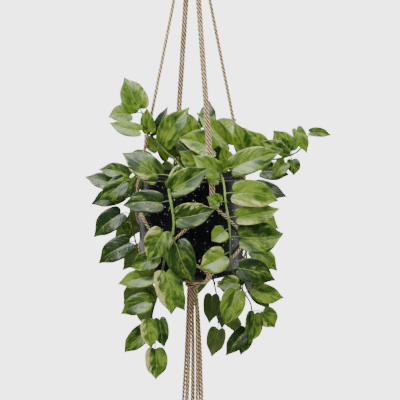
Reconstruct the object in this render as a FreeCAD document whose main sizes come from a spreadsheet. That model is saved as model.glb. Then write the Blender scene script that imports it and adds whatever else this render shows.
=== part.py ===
import FreeCAD, Part
import Sketcher
import math, os
from FreeCAD import Placement, Rotation, Vector

# A knotted cord hanger that carries a glazed pot with a trailing plant.
# The origin is the hang point: the inside of the metal ring, at its top. +Z is up, -Y is the front.

doc = FreeCAD.newDocument("HangingPlanter")
sheet = doc.addObject("Spreadsheet::Sheet", "Sizes")

# name, value in mm (a share where it says so)
sizes = [
    ("RingInside", 25.0),          # inner radius of the hanging ring
    ("RingWire", 3.0),             # radius of the ring's wire
    ("CordDiameter", 5.0),
    ("PairGap", 0.3),              # between two cords that run side by side
    ("LoopGap", 0.77),             # between the ring's wire and the outermost cords folded over it
    ("WrapLength", 30.0),
    ("WrapRadius", 14.0),
    ("WrapDrop", 9.0),             # from the ring's lower wire down to the top of the wrap
    ("ArmGap", 6.0),               # free cord between the wrap and the arms
    ("RimDrop", 538.0),            # from the hang point down to the pot's rim
    ("PotHeight", 183.0),
    ("BellyRadius", 99.5),
    ("BellySwell", 4.5),           # how far the belly stands out beyond the rim
    ("BellyShare", 0.5355),        # height of the belly's widest place, as a share of the pot's
    ("RimBand", 22.2),             # upright band below the rim
    ("CornerCurve", 32.0),         # radius of the lower corner
    ("FootStep", 0.8),             # how far the lower corner is cut off by the base
    ("PotWall", 5.0),
    ("PotFloor", 8.0),
    ("InnerCorner", 24.0),
    ("DrainRadius", 7.0),
    ("PotGap", 0.6),               # between the pot and what lies on it
    ("RimGap", 1.3),               # between the rim and the arms
    ("LinerGap", 6.0),             # between the pot's inside and the nursery pot's rim
    ("LinerFootGap", 4.0),         # between the inner corner and the nursery pot's base
    ("LinerRise", 4.0),            # how far the nursery pot stands above the pot's rim
    ("LinerWall", 1.2),
    ("LinerLip", 2.2),
    ("LinerHole", 5.0),
    ("SoilGap", 0.3),              # between the growing medium and the nursery pot
    ("SoilDepth", 16.0),           # soil surface below the nursery pot's rim
    ("KnotShare", 1.32),           # a knot's radius in cord diameters
    ("RimKnotDrop", 42.0),         # the net's upper knots, below the pot's rim
    ("SideKnotShare", 0.3607),     # its middle knots, above the base, as a share of the pot's height
    ("BaseKnotRise", 20.0),        # its lowest knots, above the pot's base
    ("GatherDrop", 18.0),          # gathering knot's centre below the pot's base
    ("GatherRadius", 13.5),
    ("GatherHalf", 8.5),           # half the gathering knot's height
    ("TasselGap", 8.0),
    ("TasselLength", 232.0),
    ("StemRadius", 2.0),
    ("MainStemRadius", 2.5),
    ("StalkRadius", 0.9),
    ("LeafThickness", 1.0),
]
# name, what it follows from
derived = [
    ("PairSpacing", "CordDiameter + PairGap"),
    ("BundleRadius", "1.6 * CordDiameter"),          # from the axis to each pair where cords are gathered
    ("LoopClearance", "LoopGap + (1.5 * PairSpacing)^2 / (2 * (RingInside + RingWire))"),
    ("KnotRadius", "KnotShare * CordDiameter"),
    ("SideKnotRise", "SideKnotShare * PotHeight"),
    ("RimRadius", "BellyRadius - BellySwell"),
    ("BellyHeight", "BellyShare * PotHeight"),
    ("BarrelCurve", "((PotHeight - RimBand - BellyHeight)^2 + BellySwell^2) / (2 * BellySwell)"),
    ("LinerTop", "RimRadius - PotWall - LinerGap"),
    ("LinerBottom", "RimRadius - PotWall - InnerCorner - LinerFootGap"),
    ("LinerHeight", "LinerRise + PotHeight - PotFloor"),
    ("SoilHeight", "LinerHeight - SoilDepth - LinerWall - SoilGap"),
    ("PotBase", "-RimDrop - PotHeight"),
]
cells = [(name, str(value)) for name, value in sizes] + [(name, "=" + rule) for name, rule in derived]
for row, (name, content) in enumerate(cells, start=1):
    sheet.set(f"A{row}", name)
    sheet.set(f"B{row}", content)
    sheet.setAlias(f"B{row}", name)
doc.recompute()

size = {name: float(getattr(sheet, name)) for name, content in cells}
cordRadius = size["CordDiameter"] / 2
halfPair = size["PairSpacing"] / 2
ringCentre = -size["RingInside"]
lowerWire = ringCentre - size["RingInside"] - size["RingWire"]
wrapTop = lowerWire - size["WrapDrop"]
wrapBottom = wrapTop - size["WrapLength"]
armTop = wrapBottom - size["ArmGap"]
rimZ = -size["RimDrop"]
potBase = size["PotBase"]
rimRadius = size["RimRadius"]
gatherZ = potBase - size["GatherDrop"]
tasselTop = gatherZ - size["GatherHalf"] - size["TasselGap"]
linerRim = rimZ + size["LinerRise"]
linerBase = potBase + size["PotFloor"]
soilTop = linerRim - size["SoilDepth"]

# Compass of the hanger, in degrees from +X towards +Y
armAngles = {"front": -69.0, "right": 10.0, "back": 110.0, "left": 192.0}
sideKnotAngles = {"front_right": -18.0, "back_right": 60.0, "back_left": 151.0, "front_left": 243.0}
baseKnotAngles = {"front": -70.0, "right": 14.0, "back": 108.0, "left": 203.0}

subParts = []


def keep(piece, label):
    """Name a finished sub-part; its label names its file."""
    piece.Label = label
    subParts.append(piece)
    return piece


def polar(angle, radius, z, sideways=0.0):
    """A point at a compass angle and radius, moved sideways along the tangent."""
    turn = math.radians(angle)
    out = Vector(math.cos(turn), math.sin(turn), 0)
    along = Vector(-math.sin(turn), math.cos(turn), 0)
    point = out * radius + along * sideways
    return Vector(point.x, point.y, z)


# ---------------------------------------------------------------- cords and stems

def routeWire(name, points, bendRadii=None):
    """Straight runs joined by tangent arcs, each arc as large as its two runs allow."""
    edges = []
    start = points[0]
    tightest = None
    for i in range(1, len(points) - 1):
        before = (points[i] - points[i - 1])
        after = (points[i + 1] - points[i])
        half = before.getAngle(after) / 2
        cut = 0.45 * min(before.Length, after.Length)
        radius = cut / math.tan(half)
        tightest = radius if tightest is None else min(tightest, radius)
        before.normalize()
        after.normalize()
        arcStart = points[i] - before * cut
        arcEnd = points[i] + after * cut
        inward = after - before
        inward.normalize()
        middle = points[i] + inward * (radius / math.cos(half) - radius)
        edges.append(Part.LineSegment(start, arcStart).toShape())
        edges.append(Part.Arc(arcStart, middle, arcEnd).toShape())
        start = arcEnd
    edges.append(Part.LineSegment(start, points[-1]).toShape())
    path = doc.addObject("Part::Feature", name + "_path")
    path.Shape = Part.Wire(edges)
    return path, tightest


def tube(label, points, radiusName, scale="1"):
    """A round section, bound to the sheet, swept along the route."""
    path, tightest = routeWire(label, points)
    section = doc.addObject("Part::Circle", label + "_section")
    section.setExpression("Radius", f"Sizes.{radiusName} * {scale}")
    ahead = points[1] - points[0]
    section.Placement = Placement(points[0], Rotation(Vector(0, 0, 1), ahead))
    doc.recompute()
    sweep = doc.addObject("Part::Sweep", label)
    sweep.Sections = [section]
    sweep.Spine = (path, [])
    sweep.Solid = True
    sweep.Frenet = False
    doc.recompute()
    area = math.pi * float(section.Radius) ** 2
    ratio = sweep.Shape.Volume / (area * path.Shape.Length)
    bend = "straight" if tightest is None else f"{tightest:.0f}"
    print(f"{label}: length {path.Shape.Length:.0f}, tightest bend {bend}, volume ratio {ratio:.4f}")
    return keep(sweep, label)


def wallRadius(z):
    """Outer radius of the pot at a height: the barrel curve above, the corner curve below."""
    height = z - potBase
    barrelCentre = size["BellyRadius"] - size["BarrelCurve"]
    barrel = barrelCentre + math.sqrt(size["BarrelCurve"] ** 2 - (height - size["BellyHeight"]) ** 2)
    cornerR, cornerH = cornerCentre()
    below = cornerH - height
    if below < 0 or below > size["CornerCurve"]:
        return max(barrel, rimRadius)
    corner = cornerR + math.sqrt(size["CornerCurve"] ** 2 - below ** 2)
    return min(barrel, corner)


def cornerCentre():
    """Centre of the lower corner's curve, tangent inside the barrel and just cutting the base."""
    reach = size["BarrelCurve"] - size["CornerCurve"]
    height = size["CornerCurve"] - size["FootStep"]
    drop = size["BellyHeight"] - height
    return size["BellyRadius"] - size["BarrelCurve"] + math.sqrt(reach ** 2 - drop ** 2), height


# ---------------------------------------------------------------- hanging ring and crown

ring = doc.addObject("Part::Torus", "hanging_ring")
ring.setExpression("Radius1", "Sizes.RingInside + Sizes.RingWire")
ring.setExpression("Radius2", "Sizes.RingWire")
ring.Placement = Placement(Vector(0, 0, ringCentre), Rotation(Vector(1, 0, 0), 90))
ring.setExpression("Placement.Base.z", "-Sizes.RingInside")
keep(ring, "hanging_ring")

loopRadius = size["RingWire"] + size["LoopClearance"] + cordRadius
loops = []
for number, step in enumerate((-1.5, -0.5, 0.5, 1.5), start=1):
    x = step * size["PairSpacing"]
    front = Vector(x, -loopRadius, lowerWire)
    back = Vector(x, loopRadius, lowerWire)
    top = Vector(x, 0, lowerWire + loopRadius)
    foot = Vector(0, 0, wrapTop - lowerWire)
    path = doc.addObject("Part::Feature", f"loop_path_{number}")
    path.Shape = Part.Wire([Part.LineSegment(front + foot, front).toShape(),
                            Part.Arc(front, top, back).toShape(),
                            Part.LineSegment(back, back + foot).toShape()])
    section = doc.addObject("Part::Circle", f"loop_section_{number}")
    section.setExpression("Radius", "Sizes.CordDiameter / 2")
    section.Placement = Placement(front + foot, Rotation())
    loop = doc.addObject("Part::Sweep", f"loop_{number}")
    loop.Sections = [section]
    loop.Spine = (path, [])
    loop.Solid = True
    loops.append(loop)
ringLoops = doc.addObject("Part::Compound", "ring_loops")
ringLoops.Links = loops
keep(ringLoops, "ring_loops")

wrapCore = doc.addObject("Part::Cylinder", "wrap_core")
wrapCore.setExpression("Radius", "Sizes.WrapRadius")
wrapCore.setExpression("Height", "Sizes.WrapLength")
wrapCore.Placement = Placement(Vector(0, 0, wrapBottom), Rotation())
doc.recompute()
topWrap = doc.addObject("Part::Fillet", "top_wrap")
topWrap.Base = wrapCore
lowerEdge = [i for i, edge in enumerate(wrapCore.Shape.Edges, start=1)
             if edge.Closed and abs(edge.CenterOfMass.z - wrapBottom) < 0.01]
topWrap.Edges = [(i, cordRadius, cordRadius) for i in lowerEdge]
keep(topWrap, "top_wrap")

# ---------------------------------------------------------------- arms

rimKnotZ = rimZ - size["RimKnotDrop"]
sideKnotZ = potBase + size["SideKnotRise"]
baseKnotZ = potBase + size["BaseKnotRise"]


def knotRadiusAt(z):
    """Distance from the axis to the centre of a knot that lies on the pot's wall."""
    return wallRadius(z) + size["PotGap"] + size["KnotRadius"]


armAtRim = rimRadius + cordRadius + size["RimGap"]
knotShare = 1.5      # each cord's end stops this far from its knot's centre
for side, angle in armAngles.items():
    for letter, way in (("a", -1), ("b", 1)):
        sideways = way * halfPair
        tube(f"arm_{side}_{letter}",
             [polar(angle, size["BundleRadius"], armTop, sideways),
              polar(angle, armAtRim, rimZ, sideways),
              polar(angle, knotRadiusAt(rimKnotZ), rimKnotZ + knotShare, sideways)],
             "CordDiameter", "0.5")

# ---------------------------------------------------------------- net

cornerR, cornerH = cornerCentre()
layRadius = size["CornerCurve"] + cordRadius + size["PotGap"] + 0.4   # cord's centre round the corner


def netCord(label, armAngle, sideAngle, baseAngle, way, layer):
    """From a rim knot down to a side knot, across it to a base knot, and under the pot.

    way is -1 for a cord that leaves its knot clockwise, layer is +1 outside and -1 inside the
    side knot, where two cords cross."""
    hug = cordRadius + size["PotGap"] + 0.6
    points = [polar(armAngle, knotRadiusAt(rimKnotZ), rimKnotZ - knotShare, way * halfPair)]
    for share in (0.3, 0.68):
        z = rimKnotZ + share * (sideKnotZ - rimKnotZ)
        angle = armAngle + share * (sideAngle - armAngle)
        points.append(polar(angle, wallRadius(z) + hug + 2.0, z))
    crossing = wallRadius(sideKnotZ) + size["PotGap"] + size["KnotRadius"]
    points.append(polar(sideAngle, crossing + layer * halfPair * 1.35, sideKnotZ))
    for share in (0.34, 0.68):
        z = sideKnotZ + share * (baseKnotZ - sideKnotZ)
        angle = sideAngle + share * (baseAngle - sideAngle)
        points.append(polar(angle, wallRadius(z) + hug + 2.0, z))
    arrive = -way * halfPair
    points.append(polar(baseAngle, wallRadius(baseKnotZ) + hug + 2.2, baseKnotZ, arrive))
    for below in (52.0, 78.0):
        turn = math.radians(below)
        points.append(polar(baseAngle, cornerR + layRadius * 1.03 * math.cos(turn),
                            potBase + cornerH - layRadius * 1.03 * math.sin(turn), arrive))
    points.append(polar(baseAngle, size["BundleRadius"] + 28, gatherZ + 7.5, arrive))
    points.append(polar(baseAngle, size["BundleRadius"], gatherZ + 2, arrive))
    tube(label, points, "CordDiameter", "0.5")


sides = ["front", "right", "back", "left"]
corners = ["front_right", "back_right", "back_left", "front_left"]


def unwrap(angle, near):
    """The same compass angle, counted the short way from another one."""
    return near + (angle - near + 180) % 360 - 180


for i, side in enumerate(sides):
    nextSide = sides[(i + 1) % 4]
    corner = corners[i]
    start = armAngles[side]
    knot = unwrap(sideKnotAngles[corner], start)
    netCord(f"net_{side}_b", start, knot, unwrap(baseKnotAngles[nextSide], knot), 1, 1)
    start = armAngles[nextSide]
    knot = unwrap(sideKnotAngles[corner], start)
    netCord(f"net_{nextSide}_a", start, knot, unwrap(baseKnotAngles[side], knot), -1, -1)

knots = []
for tier, angles, z in (("rim", armAngles, rimKnotZ), ("side", sideKnotAngles, sideKnotZ),
                        ("base", baseKnotAngles, baseKnotZ)):
    for place, angle in angles.items():
        knot = doc.addObject("Part::Ellipsoid", f"{tier}_knot_{place}")
        knot.setExpression("Radius1", "Sizes.KnotRadius")
        knot.setExpression("Radius2", "Sizes.KnotRadius")
        knot.setExpression("Radius3", "Sizes.KnotRadius")
        knot.Placement = Placement(polar(angle, knotRadiusAt(z), z), Rotation(Vector(0, 0, 1), angle))
        knots.append(knot)
netKnots = doc.addObject("Part::Compound", "net_knots")
netKnots.Links = knots
keep(netKnots, "net_knots")

gather = doc.addObject("Part::Ellipsoid", "gathering_knot")
gather.setExpression("Radius1", "Sizes.GatherHalf")
gather.setExpression("Radius2", "Sizes.GatherRadius")
gather.setExpression("Radius3", "Sizes.GatherRadius")
gather.Placement = Placement(Vector(0, 0, gatherZ), Rotation())
keep(gather, "gathering_knot")

# Tassel: where each cord passes part of the way down and where it ends, both in cord diameters
# from the axis, and how much longer than the first it is in mm
tasselWays = [
    ((-1.91, -0.89), (-3.78, -1.11), 0.0),
    ((-0.84, -2.00), (-1.89, -2.89), -9.0),
    ((0.09, -0.76), (-0.22, -1.11), 6.0),
    ((1.64, -2.13), (1.67, -3.22), -3.0),
    ((2.71, -0.71), (3.89, -0.89), 4.0),
    ((2.13, 1.20), (2.78, 1.89), -6.0),
    ((0.36, 1.69), (0.44, 2.44), 2.0),
    ((-1.29, 1.07), (-2.44, 1.44), -12.0),
]
tasselStart = [202.0, 247.0, 290.0, 333.0, 16.0, 62.0, 107.0, 154.0]
for number, (mid, end, extra) in enumerate(tasselWays, start=1):
    start = polar(tasselStart[number - 1], size["BundleRadius"], tasselTop)
    length = size["TasselLength"] + extra
    midX, midY = (share * size["CordDiameter"] for share in mid)
    endX, endY = (share * size["CordDiameter"] for share in end)
    tube(f"tassel_cord_{number}",
         [start,
          Vector(midX, midY, tasselTop - 0.267 * size["TasselLength"]),
          Vector((midX + endX) / 2 + 0.8, (midY + endY) / 2 - 0.6, tasselTop - 0.625 * size["TasselLength"]),
          Vector(endX, endY, tasselTop - length)],
         "CordDiameter", "0.5")

# ---------------------------------------------------------------- pot, nursery pot, soil

potBody = doc.addObject("PartDesign::Body", "pot")
profile = potBody.newObject("Sketcher::SketchObject", "pot_profile")
frontPlane = next(f for f in potBody.Origin.OriginFeatures if f.Role == "XZ_Plane")
profile.AttachmentSupport = [(frontPlane, "")]
profile.MapMode = "FlatFace"


def point2(x, y):
    return Vector(x, y, 0)


rimRound = size["PotWall"] / 2
barrelX = size["BellyRadius"] - size["BarrelCurve"]
footRadius = cornerR + math.sqrt(size["CornerCurve"] ** 2 - cornerH ** 2)
joinAngle = math.atan2(cornerH - size["BellyHeight"], cornerR - barrelX)
joinPoint = point2(barrelX + size["BarrelCurve"] * math.cos(joinAngle),
                   size["BellyHeight"] + size["BarrelCurve"] * math.sin(joinAngle))
shoulderHeight = size["BellyHeight"] + math.sqrt(size["BarrelCurve"] ** 2 - (rimRadius - barrelX) ** 2)
innerRadius = rimRadius - size["PotWall"]
rimCentreHeight = size["PotHeight"] - rimRound
up = Vector(0, 0, 1)
footAngle = math.atan2(-cornerH, footRadius - cornerR)
shoulderAngle = math.atan2(shoulderHeight - size["BellyHeight"], rimRadius - barrelX)
outline = [
    Part.LineSegment(point2(0, 0), point2(footRadius, 0)),
    Part.ArcOfCircle(Part.Circle(point2(cornerR, cornerH), up, size["CornerCurve"]), footAngle, joinAngle),
    Part.ArcOfCircle(Part.Circle(point2(barrelX, size["BellyHeight"]), up, size["BarrelCurve"]),
                     joinAngle, shoulderAngle),
    Part.LineSegment(point2(rimRadius, shoulderHeight), point2(rimRadius, rimCentreHeight)),
    Part.ArcOfCircle(Part.Circle(point2(rimRadius - rimRound, rimCentreHeight), up, rimRound), 0, math.pi),
    Part.LineSegment(point2(innerRadius, rimCentreHeight),
                     point2(innerRadius, size["PotFloor"] + size["InnerCorner"])),
    Part.ArcOfCircle(Part.Circle(point2(innerRadius - size["InnerCorner"],
                                        size["PotFloor"] + size["InnerCorner"]), up, size["InnerCorner"]),
                     -math.pi / 2, 0),
    Part.LineSegment(point2(innerRadius - size["InnerCorner"], size["PotFloor"]),
                     point2(0, size["PotFloor"])),
    Part.LineSegment(point2(0, size["PotFloor"]), point2(0, 0)),
]
profile.addGeometry(outline, False)
for joint in ((0, 2, 1, 1), (2, 2, 3, 1), (7, 2, 8, 1), (8, 2, 0, 1)):
    profile.addConstraint(Sketcher.Constraint("Coincident", *joint))
for joint in ((1, 2, 2, 1), (3, 2, 4, 1), (4, 2, 5, 1), (5, 2, 6, 2), (6, 1, 7, 1)):
    profile.addConstraint(Sketcher.Constraint("Tangent", *joint))
profile.addConstraint(Sketcher.Constraint("Coincident", 0, 1, -1, 1))
for line in (0, 7):
    profile.addConstraint(Sketcher.Constraint("Horizontal", line))
for line in (3, 5, 8):
    profile.addConstraint(Sketcher.Constraint("Vertical", line))


def dimension(kind, name, *where, value, formula):
    """A named dimension of the profile, bound to the sheet."""
    index = profile.addConstraint(Sketcher.Constraint(kind, *where, value))
    profile.renameConstraint(index, name)
    profile.setExpression(f"Constraints.{name}", formula)


dimension("Radius", "corner", 1, value=size["CornerCurve"], formula="Sizes.CornerCurve")
dimension("DistanceY", "cornerUp", -1, 1, 1, 3, value=cornerH, formula="Sizes.CornerCurve - Sizes.FootStep")
dimension("Radius", "barrel", 2, value=size["BarrelCurve"], formula="Sizes.BarrelCurve")
dimension("DistanceY", "barrelUp", -1, 1, 2, 3, value=size["BellyHeight"], formula="Sizes.BellyHeight")
dimension("DistanceX", "barrelIn", 2, 3, -1, 1, value=-barrelX, formula="Sizes.BarrelCurve - Sizes.BellyRadius")
dimension("DistanceX", "rimOut", -1, 1, 3, 1, value=rimRadius, formula="Sizes.RimRadius")
dimension("DistanceX", "rimIn", -1, 1, 5, 1, value=innerRadius,
          formula="Sizes.RimRadius - Sizes.PotWall")
dimension("DistanceY", "rimUp", -1, 1, 3, 2, value=rimCentreHeight, formula="Sizes.PotHeight - Sizes.PotWall / 2")
dimension("Radius", "inside", 6, value=size["InnerCorner"], formula="Sizes.InnerCorner")
dimension("DistanceY", "floorUp", -1, 1, 8, 1, value=size["PotFloor"], formula="Sizes.PotFloor")
doc.recompute()
if profile.solve() != 0:
    raise RuntimeError("the pot's profile does not solve")
shell = potBody.newObject("PartDesign::Revolution", "pot_shell")
shell.Profile = profile
shell.ReferenceAxis = (profile, ["V_Axis"])
shell.Angle = 360
doc.recompute()

drainSketch = potBody.newObject("Sketcher::SketchObject", "drain_profile")
basePlane = next(f for f in potBody.Origin.OriginFeatures if f.Role == "XY_Plane")
drainSketch.AttachmentSupport = [(basePlane, "")]
drainSketch.MapMode = "FlatFace"
drainSketch.addGeometry(Part.Circle(point2(0, 0), up, size["DrainRadius"]), False)
drainSketch.addConstraint(Sketcher.Constraint("Coincident", 0, 3, -1, 1))
drainSketch.addConstraint(Sketcher.Constraint("Radius", 0, size["DrainRadius"]))
drainSketch.setExpression("Constraints[1]", "Sizes.DrainRadius")
fullVolume = shell.Shape.Volume
drain = potBody.newObject("PartDesign::Pocket", "drain")
drain.Profile = drainSketch
drain.Type = 1
drain.Midplane = True
doc.recompute()
print(f"pot: drain takes {fullVolume - drain.Shape.Volume:.0f} mm3 of {fullVolume:.0f}")
potBody.Tip = drain
potBody.Placement = Placement(Vector(0, 0, potBase), Rotation())
potBody.setExpression("Placement.Base.z", "Sizes.PotBase")
keep(potBody, "pot")

linerOuter = doc.addObject("Part::Cone", "liner_outer")
linerOuter.setExpression("Radius1", "Sizes.LinerBottom")
linerOuter.setExpression("Radius2", "Sizes.LinerTop")
linerOuter.setExpression("Height", "Sizes.LinerHeight")
linerInner = doc.addObject("Part::Cone", "liner_inner")
linerInner.setExpression("Radius1", "Sizes.LinerBottom - Sizes.LinerWall")
linerInner.setExpression("Radius2", "Sizes.LinerTop - Sizes.LinerWall")
linerInner.setExpression("Height", "Sizes.LinerHeight")
linerInner.setExpression("Placement.Base.z", "Sizes.LinerWall")
linerLip = doc.addObject("Part::Cylinder", "liner_lip")
linerLip.setExpression("Radius", "Sizes.LinerTop + Sizes.LinerLip")
linerLip.setExpression("Height", "2 * Sizes.LinerLip")
linerLip.setExpression("Placement.Base.z", "Sizes.LinerHeight - 2 * Sizes.LinerLip")
linerSolid = doc.addObject("Part::Fuse", "liner_solid")
linerSolid.Base = linerOuter
linerSolid.Tool = linerLip
linerHoles = []
for number in range(6):
    hole = doc.addObject("Part::Cylinder", f"liner_hole_{number + 1}")
    hole.setExpression("Radius", "Sizes.LinerHole")
    hole.setExpression("Height", "Sizes.LinerWall * 4")
    hole.Placement = Placement(polar(60 * number, size["LinerBottom"] * 0.62, -2 * size["LinerWall"]), Rotation())
    linerHoles.append(hole)
linerTools = doc.addObject("Part::MultiFuse", "liner_tools")
linerTools.Shapes = [linerInner] + linerHoles
nurseryPot = doc.addObject("Part::Cut", "nursery_pot")
nurseryPot.Base = linerSolid
nurseryPot.Tool = linerTools
nurseryPot.Placement = Placement(Vector(0, 0, linerBase), Rotation())
nurseryPot.setExpression("Placement.Base.z", "Sizes.PotBase + Sizes.PotFloor")
keep(nurseryPot, "nursery_pot")

soil = doc.addObject("Part::Cone", "soil")
soilFoot = "Sizes.LinerBottom - Sizes.LinerWall - Sizes.SoilGap"
soil.setExpression("Radius1", soilFoot)
soil.setExpression("Radius2", soilFoot + " + (Sizes.LinerTop - Sizes.LinerBottom) * Sizes.SoilHeight / Sizes.LinerHeight")
soil.setExpression("Height", "Sizes.SoilHeight")
soil.Placement = Placement(Vector(0, 0, linerBase + size["LinerWall"] + size["SoilGap"]), Rotation())
soil.setExpression("Placement.Base.z", "Sizes.PotBase + Sizes.PotFloor + Sizes.LinerWall + Sizes.SoilGap")
keep(soil, "soil")

# ---------------------------------------------------------------- plant
# Each vine: its stem's route from the soil outwards, the way its leaves face, and its leaves as
# (base, tip, width), in mm, as they grow round a pot of the size given here.  On another pot the
# places move with it: outwards with its belly and the cord on it, down with its rim, and below the
# rim with its height.

drawnRim = -538.0
drawnBelly = 99.5
drawnCord = 5.0
drawnHeight = 183.0
stemStart = drawnRim - 16.0
spread = (size["BellyRadius"] + size["CordDiameter"]) / (drawnBelly + drawnCord)
stretch = size["PotHeight"] / drawnHeight


def grown(point):
    """Where a place beside the drawn pot lies beside this one."""
    x, y, z = point
    below = z - drawnRim
    if z == stemStart:
        return Vector(x * spread, y * spread, soilTop - 4)
    return Vector(x * spread, y * spread, rimZ + below * (stretch if below < 0 else 1.0))


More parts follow.
